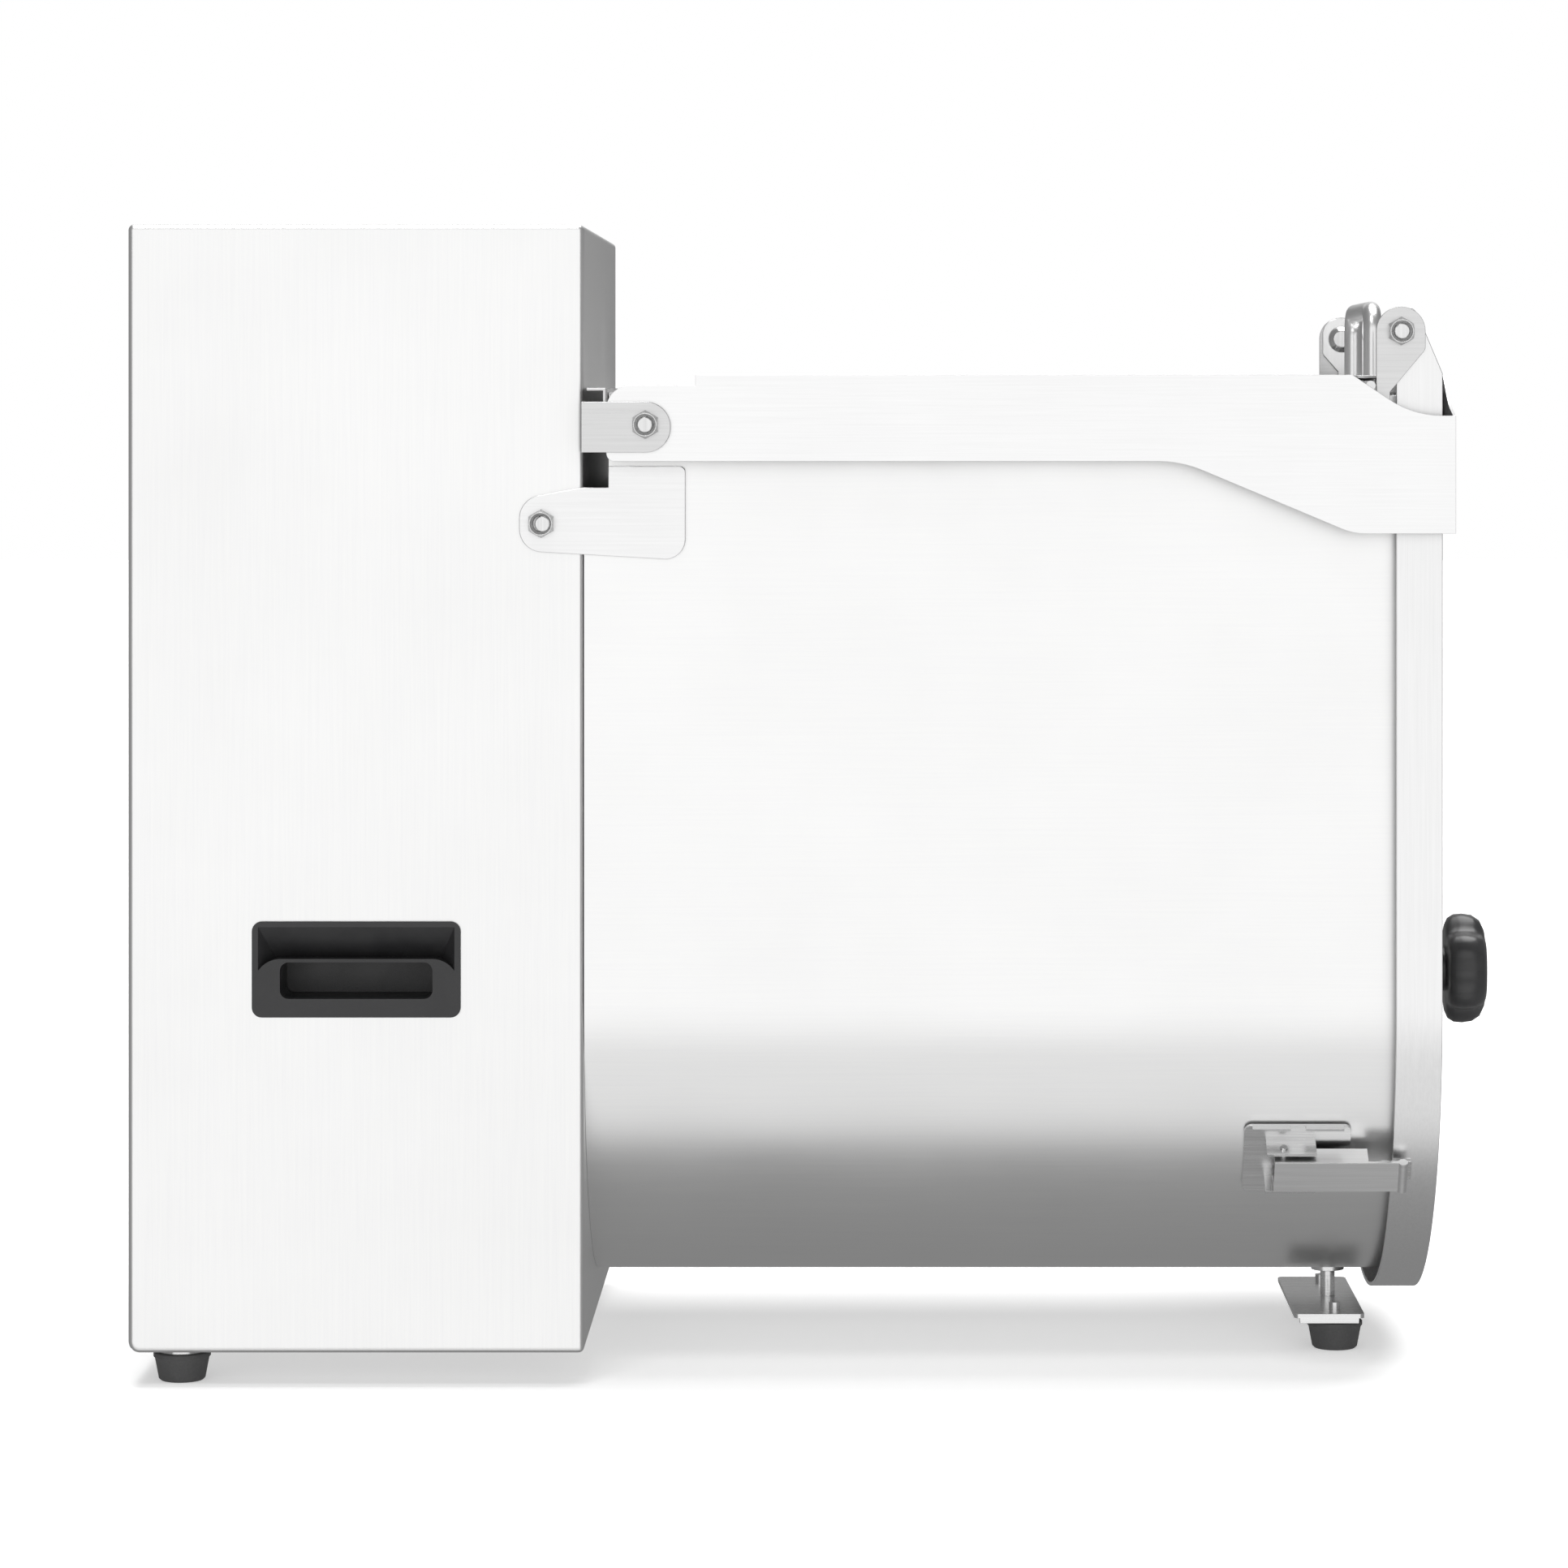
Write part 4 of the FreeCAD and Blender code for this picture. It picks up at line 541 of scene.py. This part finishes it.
silicone, silicone_tree, silicone_shader = new_material("silicone_strip")
silicone_cloud = add_noise(silicone_tree, object_mapping(silicone_tree, (1, 1, 1)), 60, 4.0)
silicone_tree.links.new(two_tone(silicone_tree, silicone_cloud, (0.74, 0.74, 0.71),
                                 (0.8, 0.8, 0.78)), silicone_shader.inputs["Base Color"])
silicone_tree.links.new(spread(silicone_tree, silicone_cloud, 0.42, 0.55),
                        silicone_shader.inputs["Roughness"])
silicone_shader.inputs["Subsurface Weight"].default_value = 0.1
paint(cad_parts["door_gasket"], silicone)

nylon, nylon_tree, nylon_shader = new_material("machined_nylon")
nylon_rings = add_noise(nylon_tree, object_mapping(nylon_tree, (2500, 40, 40)), 1.0, 2.0)
nylon_tree.links.new(two_tone(nylon_tree, nylon_rings, (0.76, 0.76, 0.74), (0.83, 0.83, 0.81)),
                     nylon_shader.inputs["Base Color"])
nylon_tree.links.new(spread(nylon_tree, nylon_rings, 0.38, 0.5), nylon_shader.inputs["Roughness"])
bump(nylon_tree, nylon_shader, nylon_rings, 0.15, 0.0002)
for name in ("door_bush", "shaft_seal"):
    paint(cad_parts[name], nylon)

# ---- Star knob -------------------------------------------------------------------------------
# A six-lobed hand knob moulded in black phenolic, with a stepped hub round a steel pin. The
# mould leaves it glossy, with a faint cloudy variation in tone and sheen.

knob_centre = Vector((0, 0, 201 * MM))
knob_lobes = 6
knob_dip = 0.15
knob_dip_from = 13.5
knob_dip_over = 14
knob_profile = [(6.05, 331.25), (11.6, 331.25), (12.4, 332), (12.5, 339.8), (13.4, 340.5),
                (24, 340.6), (27.6, 342.2), (29.6, 345.4), (30, 350), (29.2, 355.4), (26.4, 359.6),
                (21.5, 361.9), (14, 362.7), (8, 362.75), (7.2, 362.2), (6.6, 361.9), (0.01, 361.9),
                (0.01, 352.8), (6.05, 352.8)]
knob_build = turned(knob_profile, Vector((0, 0, 0)), "Z", 120)
for vertex in knob_build.verts:
    reach = math.hypot(vertex.co.x, vertex.co.y)
    turn = math.atan2(vertex.co.y, vertex.co.x)
    valley = 0.5 - 0.5 * math.cos(knob_lobes * turn)
    share = min(max((reach / MM - knob_dip_from) / knob_dip_over, 0), 1)
    factor = 1 - knob_dip * share * valley ** 1.5
    vertex.co.x *= factor
    vertex.co.y *= factor
bmesh.ops.transform(knob_build, verts=knob_build.verts,
                    matrix=Matrix.Translation(knob_centre) @ Matrix.Rotation(math.radians(90), 4,
                                                                             "Y"))
bmesh.ops.recalc_face_normals(knob_build, faces=knob_build.faces)
phenolic, phenolic_tree, phenolic_shader = new_material("black_phenolic")
phenolic_cloud = add_noise(phenolic_tree, object_mapping(phenolic_tree, (1, 1, 1)), 70, 5.0)
phenolic_tree.links.new(two_tone(phenolic_tree, phenolic_cloud, (0.018, 0.018, 0.019),
                                 (0.028, 0.028, 0.029)), phenolic_shader.inputs["Base Color"])
phenolic_tree.links.new(spread(phenolic_tree, phenolic_cloud, 0.3, 0.36),
                        phenolic_shader.inputs["Roughness"])
phenolic_shader.inputs["Coat Weight"].default_value = 0.15
phenolic_shader.inputs["Coat Roughness"].default_value = 0.15
link_piece("star_knob_moulded", knob_build, phenolic, "knob", ["star_knob"], 45)
paint(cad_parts["knob_spindle"], bright_steel)

# ---- Draw latches ----------------------------------------------------------------------------
# Pressed stainless draw latches, riveted low on each side of the tank: a base plate with two
# cheeks, a channel lever on its pin, and a hook that draws the door's keeper in.

latch_steel = brushed_metal("latch_steel", "X", (0.66, 0.66, 0.66), (0.76, 0.76, 0.76), 0.26)
lever_steel = brushed_metal("lever_steel", "X", (0.78, 0.78, 0.78), (0.86, 0.86, 0.86), 0.3)
eased_node("latch_bases", 0.3 * MM, latch_steel, "machine", 30)
eased_node("latch_pins", 0.3 * MM, bright_steel, "machine", 30)
for side in ("front", "rear"):
    eased_node(side + "_lever", 0.3 * MM, lever_steel, side + "_lever", 30)
    eased_node(side + "_claw", 0.3 * MM, latch_steel, side + "_claw", 30)
eased_node("latch_keepers", 0.3 * MM, latch_steel, "door", 30)

# ---- Plate under the tank --------------------------------------------------------------------
# A flat stainless plate with turned-down ends, hung under the drum on one stud. It carries the
# two feet at the tank's free end.

eased_node("tank_foot_bracket", 0.35 * MM, latch_steel, "machine", 30)

# ---- Mixing shaft and paddles ----------------------------------------------------------------
# A ground stainless shaft along the tank with four welded arms and blades, driven by a hexagon
# socket at the housing end and carried by the knob's pin at the other.

shaft_steel = brushed_metal("shaft_steel", "X", (0.60, 0.60, 0.60), (0.70, 0.70, 0.70), 0.24)
link_piece("mixing_shaft_ground", merged_copy("mixing_shaft"), shaft_steel, "mixer",
           ["mixing_shaft"], 40)
eased_node("paddles", 0.5 * MM, shaft_steel, "mixer", 40)

# ---- Gear unit -------------------------------------------------------------------------------
# A cast aluminium case bolted to the housing's inner wall. A steel worm on the motor's shaft
# turns a bronze wheel on the output shaft, all on ball bearings.

cast_alloy, cast_tree, cast_shader = new_material("cast_aluminium")
cast_shader.inputs["Metallic"].default_value = 1.0
cast_grain = add_noise(cast_tree, object_mapping(cast_tree, (1, 1, 1)), 420, 6.0)
cast_tree.links.new(two_tone(cast_tree, cast_grain, (0.38, 0.39, 0.40), (0.52, 0.53, 0.54)),
                    cast_shader.inputs["Base Color"])
cast_tree.links.new(spread(cast_tree, cast_grain, 0.5, 0.66), cast_shader.inputs["Roughness"])
bump(cast_tree, cast_shader, cast_grain, 0.45, 0.0006)
for name in ("gearbox_housing", "gearbox_cover", "bearing_flange"):
    paint(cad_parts[name], cast_alloy)

bronze = brushed_metal("cut_bronze", "X", (0.50, 0.33, 0.15), (0.62, 0.44, 0.22), 0.3)
ground_steel = brushed_metal("ground_steel", "Z", (0.26, 0.26, 0.27), (0.36, 0.36, 0.37), 0.34)
paint(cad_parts["worm_wheel"], bronze)
for name in ("worm", "rotor", "stator"):
    paint(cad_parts[name], ground_steel)
for name in ("output_shaft", "gear_bearings", "flange_bolts"):
    paint(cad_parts[name], bright_steel)

# ---- Motor -----------------------------------------------------------------------------------
# An upright capacitor motor above the gear unit. Its finned frame, end bells and fan cover are
# sprayed in blue-grey enamel with a light orange-peel texture.

enamel, enamel_tree, enamel_shader = new_material("motor_enamel")
enamel_peel = add_noise(enamel_tree, object_mapping(enamel_tree, (1, 1, 1)), 320, 2.0)
enamel_tree.links.new(two_tone(enamel_tree, enamel_peel, (0.055, 0.075, 0.10),
                               (0.07, 0.095, 0.125)), enamel_shader.inputs["Base Color"])
enamel_tree.links.new(spread(enamel_tree, enamel_peel, 0.3, 0.42),
                      enamel_shader.inputs["Roughness"])
bump(enamel_tree, enamel_shader, enamel_peel, 0.2, 0.0004)
for name in ("motor_frame", "motor_end_bells", "fan_cover"):
    paint(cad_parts[name], enamel)
paint(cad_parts["motor_fan"], abs_plastic)

# ---- Control panel ---------------------------------------------------------------------------
# A grey laminate plate on the far side wall with three push buttons in turned bezels: forward,
# stop and reverse. The contact blocks, contactors and run capacitor sit behind it.

laminate, laminate_tree, laminate_shader = new_material("grey_laminate")
laminate_grain = add_noise(laminate_tree, object_mapping(laminate_tree, (1, 1, 1)), 1100, 3.0)
laminate_tree.links.new(two_tone(laminate_tree, laminate_grain, (0.20, 0.21, 0.22),
                                 (0.25, 0.26, 0.27)), laminate_shader.inputs["Base Color"])
laminate_tree.links.new(spread(laminate_tree, laminate_grain, 0.42, 0.52),
                        laminate_shader.inputs["Roughness"])
bump(laminate_tree, laminate_shader, laminate_grain, 0.2, 0.0002)
eased_node("control_panel", 0.3 * MM, laminate, "machine", 30)
bezel_metal = brushed_metal("turned_bezel", "Z", (0.58, 0.58, 0.59), (0.68, 0.68, 0.69), 0.24)
paint(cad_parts["button_bezels"], bezel_metal)


def button_plastic(name, dark, light):
    material, tree, shader = new_material(name)
    cloud = add_noise(tree, object_mapping(tree, (1, 1, 1)), 90, 3.0)
    tree.links.new(two_tone(tree, cloud, dark, light), shader.inputs["Base Color"])
    tree.links.new(spread(tree, cloud, 0.22, 0.32), shader.inputs["Roughness"])
    shader.inputs["Coat Weight"].default_value = 0.2
    return material


button_colours = {
    "forward": ("button_green", (0.012, 0.25, 0.06), (0.02, 0.31, 0.08)),
    "stop": ("button_red", (0.5, 0.012, 0.012), (0.6, 0.02, 0.018)),
    "reverse": ("button_black", (0.018, 0.018, 0.018), (0.03, 0.03, 0.03)),
}
for name, (slot, dark, light) in button_colours.items():
    eased_node(name + "_button", 0.5 * MM, button_plastic(slot + "_plastic", dark, light),
               name + "_button", 30)
for name in ("contact_blocks", "contactors", "cable_gland"):
    paint(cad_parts[name], abs_plastic)
can_plastic = button_plastic("capacitor_can", (0.68, 0.68, 0.65), (0.74, 0.74, 0.71))
paint(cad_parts["capacitor"], can_plastic)
